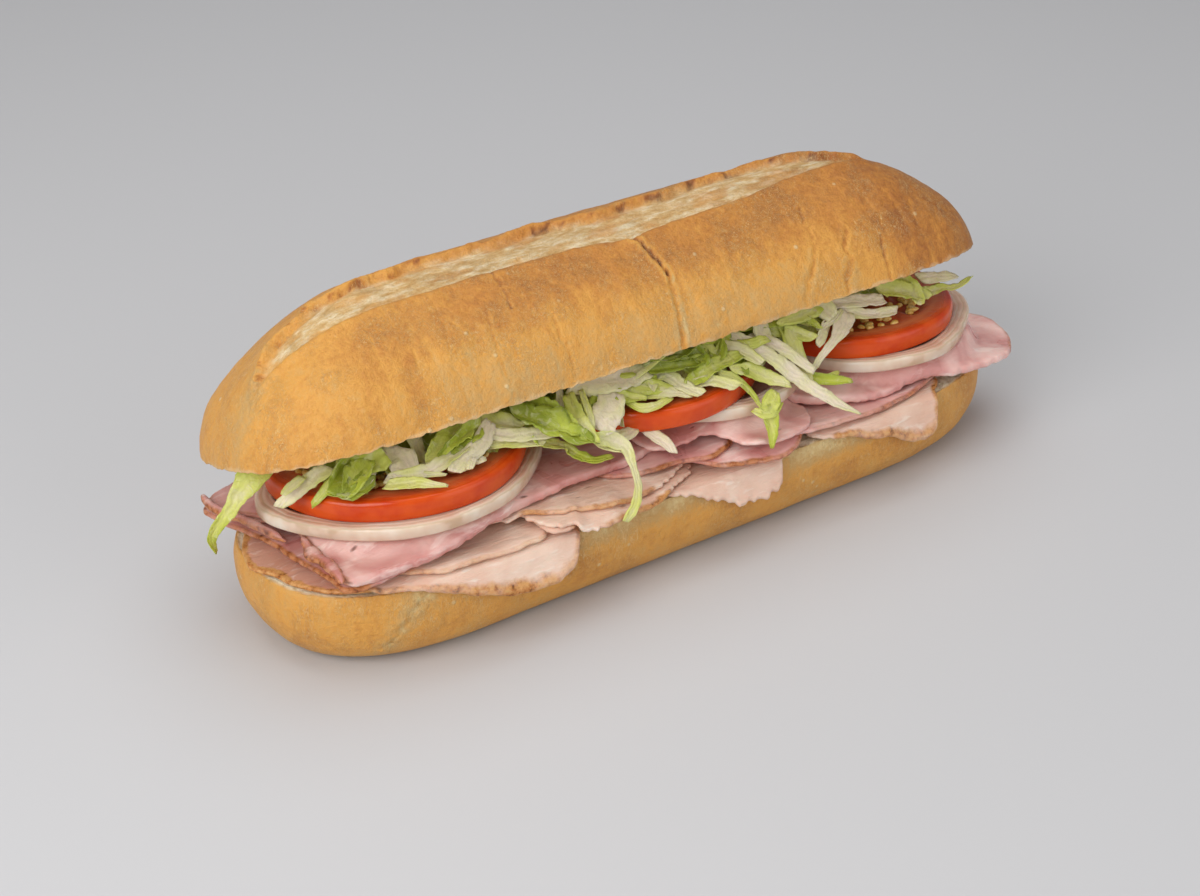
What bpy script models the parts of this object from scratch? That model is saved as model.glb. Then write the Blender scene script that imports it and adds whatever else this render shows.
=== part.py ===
"""A submarine sandwich: a long roll split lengthwise and filled with sliced turkey, sliced
ham, onion rings, tomato slices and shredded lettuce.

+X runs along the roll, -Y is the open front, +Z is up. Every size below is in millimetres,
and the last step scales the finished sandwich to metres and stands it on its base, centred.

The heel of the roll is modelled first. The slices are then laid on it one after another, from
the bottom up: each one drapes over what already lies there and droops where it reaches past
the bread. All of them are sampled on one shared grid, so no slice can cut into its neighbour.
"""

import bmesh
import bpy
import numpy as np
from mathutils import Euler, Matrix, Vector

MM = 0.001

# The roll. An end's reach is the length over which the plan rounds off.
HEEL = {"length": 231.0, "width": 70.5, "reach": 52.5, "power": 2.5}
HEEL_FRONT_HEIGHT = 23.6
HEEL_CUT_FALL = 0.036  # the knife ran down towards the back, in millimetres for each one
HEEL_BELLY = 0.67  # the widest level, as a share of the height
HEEL_TUCK = 10.9  # how far the flat base lies inside the widest outline
HEEL_RIM_ROUND = 1.0

CROWN = {"length": 228.5, "width": 67.7, "reach": 50.0, "power": 3.0}
CROWN_HEIGHT = 35.6
CROWN_DOME = 1.77  # the power of the dome's section: 2 is an ellipse, 1 is a gable
CROWN_CENTRE = (-3.7, 5.3, 49.5)
CROWN_LIFT = -20.2  # degrees about X: the front edge is held up by the filling
CROWN_PITCH = -0.5  # degrees about Y
CROWN_YAW = -1.7  # degrees about Z

# The baker's cut along the crown, which opened in the oven into a pale sunken band.
SCORE_CENTRE = -9.5
SCORE_WIDTH = 12.0
SCORE_DEPTH = 1.6

# The filling.
GAP = 0.3
TURKEY = 1.0
HAM = 1.1
FOLDED_HAM = 2.2
ONION = 4.0
ONION_RING_WALL = 3.8
TOMATO = 5.5
LIP = 0.8  # slices lie level this far past the rim of the heel, and then droop
HEAP_EDGE = 4.0  # the lettuce's thickness at its edge
HEAP_RISE = 0.8  # and how steeply it climbs from there
NODE_REACH = 2.0  # a node this close to the lip still counts as held up
BED_FALL = 0.12  # rings and tomatoes lie on a bed that falls towards the back

# Each food's colour and roughness.
FINISHES = {
    "crust": ((0.60, 0.33, 0.10), 0.55),
    "turkey": ((0.80, 0.57, 0.44), 0.40),
    "ham": ((0.70, 0.34, 0.34), 0.35),
    "onion": ((0.72, 0.66, 0.46), 0.25),
    "tomato": ((0.66, 0.11, 0.03), 0.25),
    "lettuce": ((0.42, 0.50, 0.14), 0.40),
}

# The shared grid, with close rows where the slices bend over the front of the heel.
COLUMNS = np.concatenate([[-134, -125], np.linspace(-116, 116, 23), [125, 134]])
ROWS = np.array([-50, -44, -40, -37.5, -36, -35, -29, -16, -2, 12, 24, 35, 38, 44, 50.0])


def smooth_closed(points, per_span=4):
    """Closed Catmull-Rom curve through the points, as an array of (x, y)."""
    points = np.array(points, float)
    before, after = np.roll(points, 1, 0), np.roll(points, -1, 0)
    following = np.roll(points, -2, 0)
    rows = []
    for t in np.arange(per_span) / per_span:
        rows.append(
            0.5
            * (
                2 * points
                + (after - before) * t
                + (2 * before - 5 * points + 4 * after - following) * t**2
                + (3 * points - before - 3 * after + following) * t**3
            )
        )
    return np.stack(rows, 1).reshape(-1, 2)


def plan_ring(half_length, half_width, reach, power, end_steps=7, side_steps=12):
    """Points round a plan with straight sides and superelliptic ends, counter-clockwise."""
    straight = half_length - reach
    turn = np.linspace(0, np.pi / 2, end_steps + 1)
    arc = np.stack(
        [
            straight + reach * np.cos(turn) ** (2 / power),
            half_width * np.sin(turn) ** (2 / power),
        ],
        1,
    )
    along = straight * (1 - 2 * np.arange(1, side_steps) / side_steps)
    back = np.stack([along, np.full(len(along), half_width)], 1)
    upper = np.concatenate([arc, back, (arc * [-1, 1])[::-1]])
    return np.concatenate([upper, (upper * [1, -1])[::-1][1:-1]])


def new_object(name, vertices, faces, food):
    """An object made from vertices and faces, with a material of its own."""
    mesh = bpy.data.meshes.new(name)
    mesh.from_pydata([tuple(v) for v in vertices], [], faces)
    mesh.update()
    mesh.materials.append(new_material(name, food))
    obj = bpy.data.objects.new(name, mesh)
    bpy.context.scene.collection.objects.link(obj)
    return obj


def new_material(name, food):
    colour, roughness = FINISHES[food]
    made = bpy.data.materials.new(name)
    made.use_nodes = True
    shader = made.node_tree.nodes["Principled BSDF"]
    shader.inputs["Base Color"].default_value = (*colour, 1)
    shader.inputs["Roughness"].default_value = roughness
    shader.inputs["Metallic"].default_value = 0.0
    made.diffuse_color = (*colour, 1)
    return made


def rings_to_solid(name, rings, food):
    """A closed solid lofted through rings with equal counts, capped at both ends."""
    count = len(rings[0])
    faces = [tuple(reversed(range(count)))]
    for k in range(len(rings) - 1):
        low, high = k * count, (k + 1) * count
        for j in range(count):
            n = (j + 1) % count
            faces.append((low + j, low + n, high + n, high + j))
    last = (len(rings) - 1) * count
    faces.append(tuple(range(last, last + count)))
    return new_object(name, np.concatenate(rings), faces, food)


def loaf_ring(loaf, inset):
    """The loaf's plan, drawn in by inset on every side."""
    return plan_ring(
        loaf["length"] / 2 - inset,
        loaf["width"] / 2 - inset,
        loaf["reach"] - inset,
        loaf["power"],
    )


def heel_top(x, y):
    """Height of the heel's cut face."""
    return HEEL_FRONT_HEIGHT - HEEL_CUT_FALL * (y + HEEL["width"] / 2)


def make_heel():
    """The bottom half: a flat base, a belly, and the cut face that carries the filling."""
    rings = []
    for share in (0.0, 0.1, 0.28, 0.48, HEEL_BELLY, 0.85, 0.96, 1.0):
        if share < HEEL_BELLY:
            below = 1 - share / HEEL_BELLY
            inset = HEEL_TUCK * (1 - np.sqrt(1 - below**2))
        else:
            inset = HEEL_RIM_ROUND * ((share - HEEL_BELLY) / (1 - HEEL_BELLY)) ** 3
        plan = loaf_ring(HEEL, inset)
        height = share * heel_top(plan[:, 0], plan[:, 1])
        rings.append(np.column_stack([plan, height]))
    return rings_to_solid("roll_heel", rings, "crust")


def score_dip(y):
    """Depth of the pale band below the dome, across the crown."""
    across = np.clip(np.abs(y - SCORE_CENTRE) / (SCORE_WIDTH / 2), 0, 1)
    return SCORE_DEPTH * (1 - across**4)


def crown_frame():
    turn = Euler(np.radians((CROWN_LIFT, CROWN_PITCH, CROWN_YAW)), "XYZ")
    return Matrix.Translation(CROWN_CENTRE) @ turn.to_matrix().to_4x4()


def make_crown():
    """The top half: a domed loaf over a flat cut, with the score along it."""
    rings = []
    levels = (1.0, 0.985, 0.94, 0.86, 0.75, 0.62, 0.5, 0.43, 0.36, 0.28, 0.2, 0.12, 0.05)
    for level in levels:
        plan = plan_ring(
            CROWN["length"] / 2 - CROWN["reach"] * (1 - level),
            CROWN["width"] / 2 * level,
            CROWN["reach"] * level,
            CROWN["power"],
        )
        dome = CROWN_HEIGHT * (1 - level**CROWN_DOME) ** (1 / CROWN_DOME)
        middle = np.clip(2.2 * (1 - np.abs(plan[:, 0]) / (CROWN["length"] / 2)), 0, 1)
        dip = score_dip(plan[:, 1]) * middle * min(1.0, dome / CROWN_HEIGHT * 1.2)
        rings.append(np.column_stack([plan, dome - dip]))
    crown = rings_to_solid("roll_crown", rings, "crust")
    crown.matrix_world = crown_frame()
    return crown


def crown_cut(x, y):
    """Height of the crown's cut face above a point of the plan."""
    frame = crown_frame()
    normal = frame.to_3x3() @ Vector((0, 0, 1))
    centre = frame.translation
    return centre.z - ((x - centre.x) * normal.x + (y - centre.y) * normal.y) / normal.z


class Stack:
    """What lies on the heel so far, as heights at the nodes of the shared grid."""

    def __init__(self):
        self.x, self.y = np.meshgrid(COLUMNS, ROWS, indexing="ij")
        lip = loaf_ring(HEEL, HEEL_RIM_ROUND - LIP)
        distance, within = self.distance_to(lip)
        self.past_rim = np.where(within, 0, distance)
        self.top = np.where(self.past_rim > NODE_REACH, -100.0, heel_top(self.x, self.y))
        self.rim_samples = [self.corners_at(point) for point in densified(lip, 2.0)]

    def corners_at(self, point):
        """The nodes of the triangle that a point lies over, their shares of it, and its floor."""
        i = np.searchsorted(COLUMNS, point[0]) - 1
        j = np.searchsorted(ROWS, point[1]) - 1
        u = (point[0] - COLUMNS[i]) / (COLUMNS[i + 1] - COLUMNS[i])
        v = (point[1] - ROWS[j]) / (ROWS[j + 1] - ROWS[j])
        if u >= v:
            nodes, shares = [(i, j), (i + 1, j), (i + 1, j + 1)], [1 - u, u - v, v]
        else:
            nodes, shares = [(i, j), (i, j + 1), (i + 1, j + 1)], [1 - v, v - u, u]
        return tuple(np.array(nodes).T), np.array(shares), heel_top(*point)

    def held_off_rim(self, low, level):
        """The sheet raised towards level, at the nodes past the rim, until it clears the rim."""
        low = low.copy()
        for nodes, shares, floor in self.rim_samples:
            missing = floor + GAP - (low[nodes] * shares).sum()
            room = np.maximum(level[nodes] - low[nodes], 0)
            reach = (room * shares).sum()
            if missing > 0 and reach > 0:
                low[nodes] += room * min(1.0, missing / reach)
        return low

    def distance_to(self, ring):
        """Distance of each node from a closed outline, and whether it lies inside."""
        nodes = np.stack([self.x.ravel(), self.y.ravel()], 1)
        step = np.roll(ring, -1, 0) - ring
        share = ((nodes[:, None] - ring) * step).sum(2) / (step**2).sum(1)
        nearest = ring + np.clip(share, 0, 1)[..., None] * step
        distance = np.linalg.norm(nodes[:, None] - nearest, axis=2).min(1)
        return distance.reshape(self.x.shape), inside(ring, nodes).reshape(self.x.shape)

    def bed(self, limpness, bend, step_bend=45.0):
        """The lowest a new slice can lie: over the steps below it, and drooping past the rim.

        limpness is the steepest slope that it droops to, and bend the radius of that droop.
        """
        on_bread = self.past_rim <= NODE_REACH
        px, py = self.x.ravel(), self.y.ravel()
        qx, qy, qz = (a[on_bread] for a in (self.x, self.y, self.top))
        square = (px[:, None] - qx) ** 2 + (py[:, None] - qy) ** 2
        beyond = self.past_rim.ravel()
        nearer = np.maximum(square - beyond[:, None] ** 2, 0)
        held = (qz - nearer / (2 * step_bend)).max(1)
        droop = limpness * (np.sqrt(bend**2 + beyond**2) - bend)
        lying = (held - droop).reshape(self.x.shape)
        level = np.maximum(held.reshape(self.x.shape), heel_top(self.x, self.y)) + GAP
        return self.held_off_rim(np.maximum(lying, self.top) + GAP, level)

    def touched(self, outline):
        """The nodes of every grid cell that the outline reaches into."""
        cells = np.zeros((len(COLUMNS) - 1, len(ROWS) - 1), bool)
        dense = densified(outline)
        column = np.searchsorted(COLUMNS, dense[:, 0]) - 1
        row = np.searchsorted(ROWS, dense[:, 1]) - 1
        cells[column, row] = True
        corners = np.stack([self.x.ravel(), self.y.ravel()], 1)
        nodes = inside(outline, corners).reshape(self.x.shape)
        for i in (0, 1):
            for j in (0, 1):
                cells |= nodes[i : i + cells.shape[0], j : j + cells.shape[1]]
        found = np.zeros_like(nodes)
        for i in (0, 1):
            for j in (0, 1):
                found[i : i + cells.shape[0], j : j + cells.shape[1]] |= cells
        return found

    def rise(self, outline, top):
        reached = self.touched(outline)
        self.top = np.where(reached, np.maximum(self.top, top), self.top)


def densified(outline, step=1.0):
    """Points every millimetre or so along a closed outline."""
    found = []
    for a, b in zip(outline, np.roll(outline, -1, 0)):
        count = max(1, int(np.linalg.norm(b - a) / step))
        found += [a + (b - a) * k / count for k in range(count)]
    return np.array(found)


def inside(ring, points):
    """Whether each point lies inside the closed outline."""
    found = np.zeros(len(points), bool)
    for (x0, y0), (x1, y1) in zip(ring, np.roll(ring, -1, 0)):
        crosses = (y0 > points[:, 1]) != (y1 > points[:, 1])
        level = np.where(y1 == y0, 1.0, y1 - y0)
        found ^= crosses & (points[:, 0] < x0 + (points[:, 1] - y0) * (x1 - x0) / level)
    return found


def prism(name, outline, hole=None):
    """A tall cutter with the slice's outline, hidden from the model."""
    build = bmesh.new()
    for ring, flip in ((outline, False), (hole, True)):
        if ring is None:
            continue
        low = [build.verts.new((x, y, -60.0)) for x, y in ring]
        high = [build.verts.new((x, y, 160.0)) for x, y in ring]
        count = len(ring)
        for j in range(count):
            n = (j + 1) % count
            face = (low[j], low[n], high[n], high[j])
            build.faces.new(face[::-1] if flip else face)
        if hole is None:
            build.faces.new(low[::-1])
            build.faces.new(high)
    if hole is not None:
        build.edges.ensure_lookup_table()
        for z in (-60.0, 160.0):
            level = [
                e
                for e in build.edges
                if all(abs(v.co.z - z) < 1e-6 for v in e.verts)
            ]
            bmesh.ops.triangle_fill(build, edges=level, use_beauty=True)
        bmesh.ops.recalc_face_normals(build, faces=build.faces)
    mesh = bpy.data.meshes.new(name)
    build.to_mesh(mesh)
    build.free()
    cutter = bpy.data.objects.new(name, mesh)
    bpy.context.scene.collection.objects.link(cutter)
    cutter.hide_render = True
    cutter.display_type = "WIRE"
    return cutter


def slab(name, low, high, reached, food):
    """A closed sheet between two heights, over the grid cells whose nodes are all reached."""
    index = np.full(low.shape, -1)
    index[reached] = np.arange(reached.sum())
    count = int(reached.sum())
    x, y = np.meshgrid(COLUMNS, ROWS, indexing="ij")
    vertices = [
        np.column_stack([x[reached], y[reached], z[reached]]) for z in (low, high)
    ]
    faces = []
    border = {}
    for i in range(len(COLUMNS) - 1):
        for j in range(len(ROWS) - 1):
            a, b = index[i, j], index[i + 1, j]
            c, d = index[i + 1, j + 1], index[i, j + 1]
            if min(a, b, c, d) < 0:
                continue
            for tri in ((a, b, c), (a, c, d)):
                faces.append(tuple(reversed(tri)))
                faces.append(tuple(v + count for v in tri))
            for edge in ((a, b), (b, c), (c, d), (d, a)):
                if border.pop(edge[::-1], None) is None:
                    border[edge] = True
    for a, b in border:
        faces.append((a, b, b + count, a + count))
    return new_object(name, np.concatenate(vertices), faces, food)


def trim(sheet, cutter):
    cut = sheet.modifiers.new("outline", "BOOLEAN")
    cut.operation = "INTERSECT"
    cut.solver = "EXACT"
    cut.object = cutter


def lay_slice(stack, name, food, thickness, limpness, bend, points):
    """Drapes one slice over the stack, trims it to its outline and adds it to the stack."""
    outline = smooth_closed(points)
    low = stack.bed(limpness, bend)
    steep = np.hypot(*np.gradient(low, COLUMNS, ROWS))
    high = low + thickness * np.sqrt(1 + np.minimum(steep, 2.0) ** 2)
    reached = stack.touched(outline)
    sheet = slab(name, low, high, reached, food)
    trim(sheet, prism(name + "_outline", outline))
    stack.rise(outline, high)
    return sheet


def inward(outline, distance):
    """The outline moved in by a distance along its normals."""
    along = np.roll(outline, -1, 0) - np.roll(outline, 1, 0)
    along /= np.linalg.norm(along, axis=1)[:, None]
    return outline + distance * np.column_stack([-along[:, 1], along[:, 0]])


def bed_plane(stack, outline):
    """Offset of the sloping plane that just clears everything under an outline."""
    reached = stack.touched(outline)
    return (stack.top + BED_FALL * stack.y)[reached].max() + GAP


def flat_slice(name, food, outline, hole, base, thickness, bulge):
    """A stiff slice on the sloping plane, its side rounded out by bulge."""
    rings = []
    for level, out in ((0.0, 0.0), (0.25, 0.8), (0.5, 1.0), (0.75, 0.8), (1.0, 0.0)):
        ring = inward(outline, bulge * (1 - out))
        z = base - BED_FALL * ring[:, 1] + thickness * level
        rings.append(np.column_stack([ring, z]))
    if hole is None:
        return rings_to_solid(name, rings, food)
    for level in (1.0, 0.5, 0.0):
        ring = inward(hole, 0.0)
        z = base - BED_FALL * ring[:, 1] + thickness * level
        rings.append(np.column_stack([ring, z]))
    count, faces = len(outline), []
    for k in range(len(rings)):
        low, high = k * count, (k + 1) % len(rings) * count
        for j in range(count):
            n = (j + 1) % count
            faces.append((low + j, low + n, high + n, high + j))
    return new_object(name, np.concatenate(rings), faces, food)


def oval(centre, half_length, front, back, count=32):
    """An egg-shaped outline with its own reach to the front and to the back."""
    turn = 2 * np.pi * np.arange(count) / count
    across = np.where(np.sin(turn) > 0, back, front) * np.sin(turn)
    return np.stack([centre[0] + half_length * np.cos(turn), centre[1] + across], 1)


# Each slice, from the bottom up: name, kind, thickness, steepest droop, droop radius, and the
# points of its outline in plan, from its left end along the front and round the back.
SLICES = (
    ("turkey_end_left", "turkey", TURKEY, 0.3, 4.0, [
        (-116, 0), (-112.5, -7), (-109, -16), (-102, -23), (-93, -26), (-84, -20), (-80, 0),
        (-86, 18), (-100, 24), (-111, 13)]),
    ("turkey_low_left", "turkey", TURKEY, 3.0, 1.5, [
        (-101, -10), (-97, -27), (-90, -31), (-84, -34.5), (-75, -37), (-67, -38),
        (-58, -38.5), (-50, -38.8), (-44, -38), (-40.5, -35), (-37, -26), (-36, 0), (-40, 24),
        (-58, 34), (-82, 33), (-97, 18)]),
    ("turkey_low_right", "turkey", TURKEY, 3.0, 1.5, [
        (-11, -28), (-10.5, -34.5), (-7, -36.3), (0, -37.5), (6, -38.2), (13, -38.7),
        (19, -38.8), (23, -37), (26, -28), (24, -8), (8, 0), (-8, -6), (-13, -14)]),
    ("turkey_far_right", "turkey", TURKEY, 3.0, 1.5, [
        (36, -27), (37, -33.5), (43, -36), (52, -37), (62, -37.8), (70, -38.5), (76, -38),
        (78, -35.5), (81, -33), (86, -28), (92, -12), (92, 10), (82, 28), (62, 33), (44, 26),
        (36, 6), (35, -12)]),
    ("turkey_up_left", "turkey", TURKEY, 0.8, 4.0, [
        (-97, -18), (-91, -27), (-84, -32), (-76, -34.5), (-66, -35), (-57, -35.5),
        (-50, -34), (-42, -22), (-46, -8), (-62, -2), (-80, -4), (-92, -8)]),
    ("turkey_fold_left", "turkey", TURKEY, 0.8, 4.0, [
        (-50, -31), (-49, -35.5), (-46.5, -37), (-43, -37), (-41.5, -34), (-40, -27),
        (-43, -20), (-48, -22)]),
    ("turkey_mid_lower", "turkey", TURKEY, 1.2, 3.0, [
        (-50, -24), (-44, -31), (-37, -34.5), (-31, -37.5), (-24, -38), (-16, -37.3),
        (-9, -33.5), (0, -27), (4, -6), (-2, 18), (-14, 33), (-34, 34), (-48, 20), (-53, 0)]),
    ("turkey_mid_upper", "turkey", TURKEY, 0.8, 4.0, [
        (-64, -22), (-58, -27), (-51, -28.5), (-45, -32), (-38, -35), (-29, -36.3),
        (-18, -35), (-11, -32.7), (-4, -28.5), (2, -20), (-2, -10), (-20, -4), (-44, -6),
        (-60, -12)]),
    ("ham_mid_second", "ham", HAM, 0.8, 4.0, [
        (-2, -26), (2, -33.8), (9, -37.2), (17, -38.3), (25, -38.5), (30, -36.5), (35, -30),
        (35, -20), (28, -8), (12, -4), (0, -10)]),
    ("ham_mid_front", "ham", HAM, 0.6, 6.0, [
        (-34, -14), (-29, -21.5), (-22, -27), (-13, -29.5), (-4, -31), (2, -33), (8, -31.8),
        (14, -28.5), (19, -21), (16, -10), (2, -4), (-20, -4)]),
    ("ham_left_lower", "ham", HAM, 0.15, 8.0, [
        (-114.5, 28), (-114, 20), (-112, 13), (-109.5, 5), (-108.5, -5), (-107, -14),
        (-105.5, -24), (-105, -30), (-98, -31.5), (-84, -29), (-72, -20), (-70, 0),
        (-72, 20), (-84, 30), (-100, 33)]),
    ("ham_left_fold", "ham", FOLDED_HAM, 0.1, 8.0, [
        (-114.5, 26), (-111, 18), (-106, 9), (-104, -2), (-104.5, -11), (-105, -20),
        (-104, -29), (-98, -32), (-84, -32), (-68, -30.5), (-50, -27), (-30, -25.5),
        (-10, -23), (-4, -15),
        (-16, -6), (-40, -2), (-58, 8), (-68, 22), (-84, 29), (-102, 31)]),
    ("ham_right_lower", "ham", HAM, 0.6, 6.0, [
        (22, -27), (25, -34), (34, -36), (46, -35.8), (58, -35.3), (68, -34), (77, -31.5),
        (87, -26), (84, -10), (60, -4), (36, -6), (24, -14)]),
    ("ham_mid_top", "ham", HAM, 0.8, 4.0, [
        (-13, -20), (-9, -27.5), (-2, -27.5), (5, -27), (9.5, -30), (11.5, -34.5),
        (15, -37.3), (22, -38), (30, -37), (37, -31), (40, -16), (40, 6), (34, 24), (18, 31),
        (2, 30), (-8, 18), (-12, 0)]),
    ("ham_right_fold", "ham", FOLDED_HAM, 0.1, 10.0, [
        (34, -20), (42, -26), (56, -30.5), (72, -31), (88, -33.5), (102, -33.5),
        (112, -30), (119, -24), (123, -16), (122.5, -8), (117, -2), (109, 6), (104, 20),
        (88, 30), (66, 28),
        (50, 18), (40, 0)]),
)

# Each onion ring's outline, and the tomato slice on it: centre, half length, front, back.
RINGS = (
    ("left", smooth_closed([
        (-109, 6), (-107, -6), (-99, -18.5), (-87, -28), (-72, -31.7), (-57, -28.5),
        (-44, -20), (-34.5, -9), (-31.5, 5), (-38, 19), (-54, 29), (-72, 31), (-92, 26),
        (-104, 17)], 2),
        ((-70, 7), 35, 35.5, 23)),
    ("mid", smooth_closed([
        (-8, 0), (-3, -16), (6, -26), (18, -31), (29, -29.8), (39, -24), (45, -16),
        (46, -4), (44, 10), (36, 21), (22, 27), (6, 26), (-5, 15)], 2),
        ((3.5, 4.5), 34, 34.5, 25)),
    ("right", smooth_closed([
        (50.5, 0), (51.5, -13), (57, -24), (66, -30.3), (77, -33), (88, -31), (98, -25),
        (107, -17.5), (113, -7), (114, 4), (109, 16), (97, 25), (80, 28), (63, 23),
        (53.5, 12)], 2),
        ((76.5, 3.5), 30, 32.5, 26)),
)

LETTUCE_OUTLINE = [
    (-104, 2), (-101, -14), (-92, -21), (-83, -25), (-74, -22), (-64, -26), (-52, -25),
    (-40, -30), (-30, -27), (-20, -32), (-8, -29), (4, -27), (14, -31), (26, -28), (36, -32),
    (48, -26), (58, -29), (70, -24), (82, -27), (94, -20), (103, -12), (106, 2), (99, 15),
    (80, 20), (55, 24), (28, 21), (0, 24), (-30, 22), (-60, 25), (-88, 20)]


def lay_rings_and_tomatoes(stack):
    """Three onion rings side by side on the meat, each with a tomato slice on it."""
    beds = [bed_plane(stack, ring) for _, ring, _ in RINGS]
    for (place, ring, tomato), bed in zip(RINGS, beds):
        hole = inward(ring, ONION_RING_WALL)
        flat_slice("onion_ring_" + place, "onion", ring, hole, bed, ONION, 0.5)
        slice_bed = bed + ONION + GAP
        outline = oval(*tomato)
        flat_slice("tomato_slice_" + place, "tomato", outline, None, slice_bed, TOMATO, 1.0)
        stack.rise(ring, bed + ONION - BED_FALL * stack.y)
        stack.rise(outline, slice_bed + TOMATO - BED_FALL * stack.y)


def make_lettuce(stack):
    """The heap of shreds: it slopes up from its edge until it meets the crown's cut face."""
    outline = smooth_closed(LETTUCE_OUTLINE, 2)
    low = stack.bed(0.5, 5.0)
    distance, within = stack.distance_to(outline)
    slope = low + HEAP_EDGE + HEAP_RISE * np.where(within, distance, 0)
    high = np.minimum(slope, crown_cut(stack.x, stack.y) - GAP)
    low = np.minimum(low, high - 0.8)
    heap = slab("shredded_lettuce", low, high, stack.touched(outline), "lettuce")
    trim(heap, prism("shredded_lettuce_outline", outline))
    return heap


def bake(parts):
    """Turns each part's modifiers and placement into its mesh, so that it can be moved freely."""
    graph = bpy.context.evaluated_depsgraph_get()
    made = {part: bpy.data.meshes.new_from_object(part.evaluated_get(graph)) for part in parts}
    for part, mesh in made.items():
        mesh.transform(part.matrix_world)
        part.modifiers.clear()
        part.data = mesh
        part.matrix_world = Matrix.Identity(4)
    for helper in [o for o in bpy.context.scene.objects if o.hide_render]:
        bpy.data.objects.remove(helper)


def stand_at_origin(parts):
    """Scales the sandwich to metres, with the middle of its base at the origin."""
    corners = np.array([v.co for part in parts for v in part.data.vertices])
    low, high = corners.min(0), corners.max(0)
    middle = Vector(((low[0] + high[0]) / 2, (low[1] + high[1]) / 2, low[2]))
    for part in parts:
        part.data.transform(Matrix.Scale(MM, 4) @ Matrix.Translation(-middle))
        part.data.shade_smooth()
        part.data.set_sharp_from_angle(angle=np.radians(40))
    print("middle of the base, mm:", [round(v, 2) for v in middle])


def main():
    for old in list(bpy.data.objects):
        bpy.data.objects.remove(old)
    make_heel()
    make_crown()
    stack = Stack()
    for name, kind, thickness, limpness, bend, points in SLICES:
        lay_slice(stack, name, kind, thickness, limpness, bend, points)
    lay_rings_and_tomatoes(stack)
    make_lettuce(stack)
    bpy.context.view_layer.update()
    parts = [o for o in bpy.context.scene.objects if not o.hide_render]
    bake(parts)
    stand_at_origin(parts)


main()
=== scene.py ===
import bpy
import numpy as np
from mathutils import Euler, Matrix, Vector, noise
from mathutils.bvhtree import BVHTree
from mathutils.geometry import delaunay_2d_cdt


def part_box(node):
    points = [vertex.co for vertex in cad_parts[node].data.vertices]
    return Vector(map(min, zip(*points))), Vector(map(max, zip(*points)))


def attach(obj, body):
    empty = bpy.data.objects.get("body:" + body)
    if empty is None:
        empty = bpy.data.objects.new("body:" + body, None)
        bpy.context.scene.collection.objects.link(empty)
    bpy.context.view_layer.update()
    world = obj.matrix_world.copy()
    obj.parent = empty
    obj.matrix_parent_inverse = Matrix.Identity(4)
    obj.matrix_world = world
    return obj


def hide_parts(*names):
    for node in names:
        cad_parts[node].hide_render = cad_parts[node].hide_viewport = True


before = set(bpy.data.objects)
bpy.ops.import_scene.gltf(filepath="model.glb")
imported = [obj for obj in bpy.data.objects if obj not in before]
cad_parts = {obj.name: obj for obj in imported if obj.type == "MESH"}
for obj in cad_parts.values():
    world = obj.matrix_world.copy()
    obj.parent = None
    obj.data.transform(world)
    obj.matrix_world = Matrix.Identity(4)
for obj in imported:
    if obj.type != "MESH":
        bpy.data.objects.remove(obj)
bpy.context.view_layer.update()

# The table and the light. The sandwich stands on a plain pale table under a large soft light from
# the upper left, a wide one overhead and a weak fill from the right. Sizes below are in
# millimetres from the middle of the roll's base, with +X along the roll and -Y its open front.

MM = 0.001
heel_low, heel_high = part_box("roll_heel")
origin = np.array([(heel_low.x + heel_high.x) / 2, (heel_low.y + heel_high.y) / 2, heel_low.z])


def in_place(points):
    """Millimetres from the middle of the roll's base, as metres in the frame."""
    return origin + np.asarray(points, float) * MM


def linear(code):
    """An sRGB hex colour as linear RGBA."""
    shares = [int(code[k : k + 2], 16) / 255 for k in (1, 3, 5)]
    return (*(s / 12.92 if s <= 0.04045 else ((s + 0.055) / 1.055) ** 2.4 for s in shares), 1.0)


def feed(node, inputs):
    """Sets a node's inputs to values, to sockets, or to the first output of other nodes."""
    for name, value in inputs.items():
        if isinstance(value, bpy.types.Node):
            value = next(socket for socket in value.outputs if socket.enabled)
        if isinstance(value, bpy.types.NodeSocket):
            node.id_data.links.new(value, node.inputs[name])
        else:
            node.inputs[name].default_value = value


def add(tree, kind, inputs=None, **settings):
    """Adds a node to a tree, with its settings and its inputs."""
    made = tree.nodes.new(kind)
    for name, value in settings.items():
        setattr(made, name, value)
    feed(made, inputs or {})
    return made


def new_material(name):
    """An empty material with a Principled shader on its output."""
    made = bpy.data.materials.new(name)
    made.use_nodes = True
    return made, made.node_tree, made.node_tree.nodes["Principled BSDF"]


def new_mesh(name, points, faces, **attributes):
    """A mesh with values at its points for a material or a node tree to read."""
    mesh = bpy.data.meshes.new(name)
    mesh.from_pydata(np.asarray(points, float).tolist(), [], faces)
    for label, values in attributes.items():
        mesh.attributes.new(label, "FLOAT", "POINT").data.foreach_set(
            "value", np.asarray(values, np.float32))
    mesh.update()
    return mesh


def new_object(name, data):
    """An object in the scene that shows a mesh, a lamp or a camera."""
    made = bpy.data.objects.new(name, data)
    bpy.context.scene.collection.objects.link(made)
    return made


table_mesh = new_mesh("table", [(-3, -3, 0), (3, -3, 0), (3, 3, 0), (-3, 3, 0)], [(0, 1, 2, 3)])
table = new_object("table", table_mesh)
# Matt white laminate: evenly pale, with only the softest reflection.
laminate, tree, shader = new_material("matt_white_laminate")
grain = add(tree, "ShaderNodeTexNoise", {"Scale": 6.0, "Detail": 3.0})
tone = add(tree, "ShaderNodeMix", {"Factor": grain, "A": linear("#c9c8c9"), "B": linear("#cdcccd")},
           data_type="RGBA")
feed(shader, {"Base Color": tone, "Roughness": 0.55})
table_mesh.materials.append(laminate)

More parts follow.
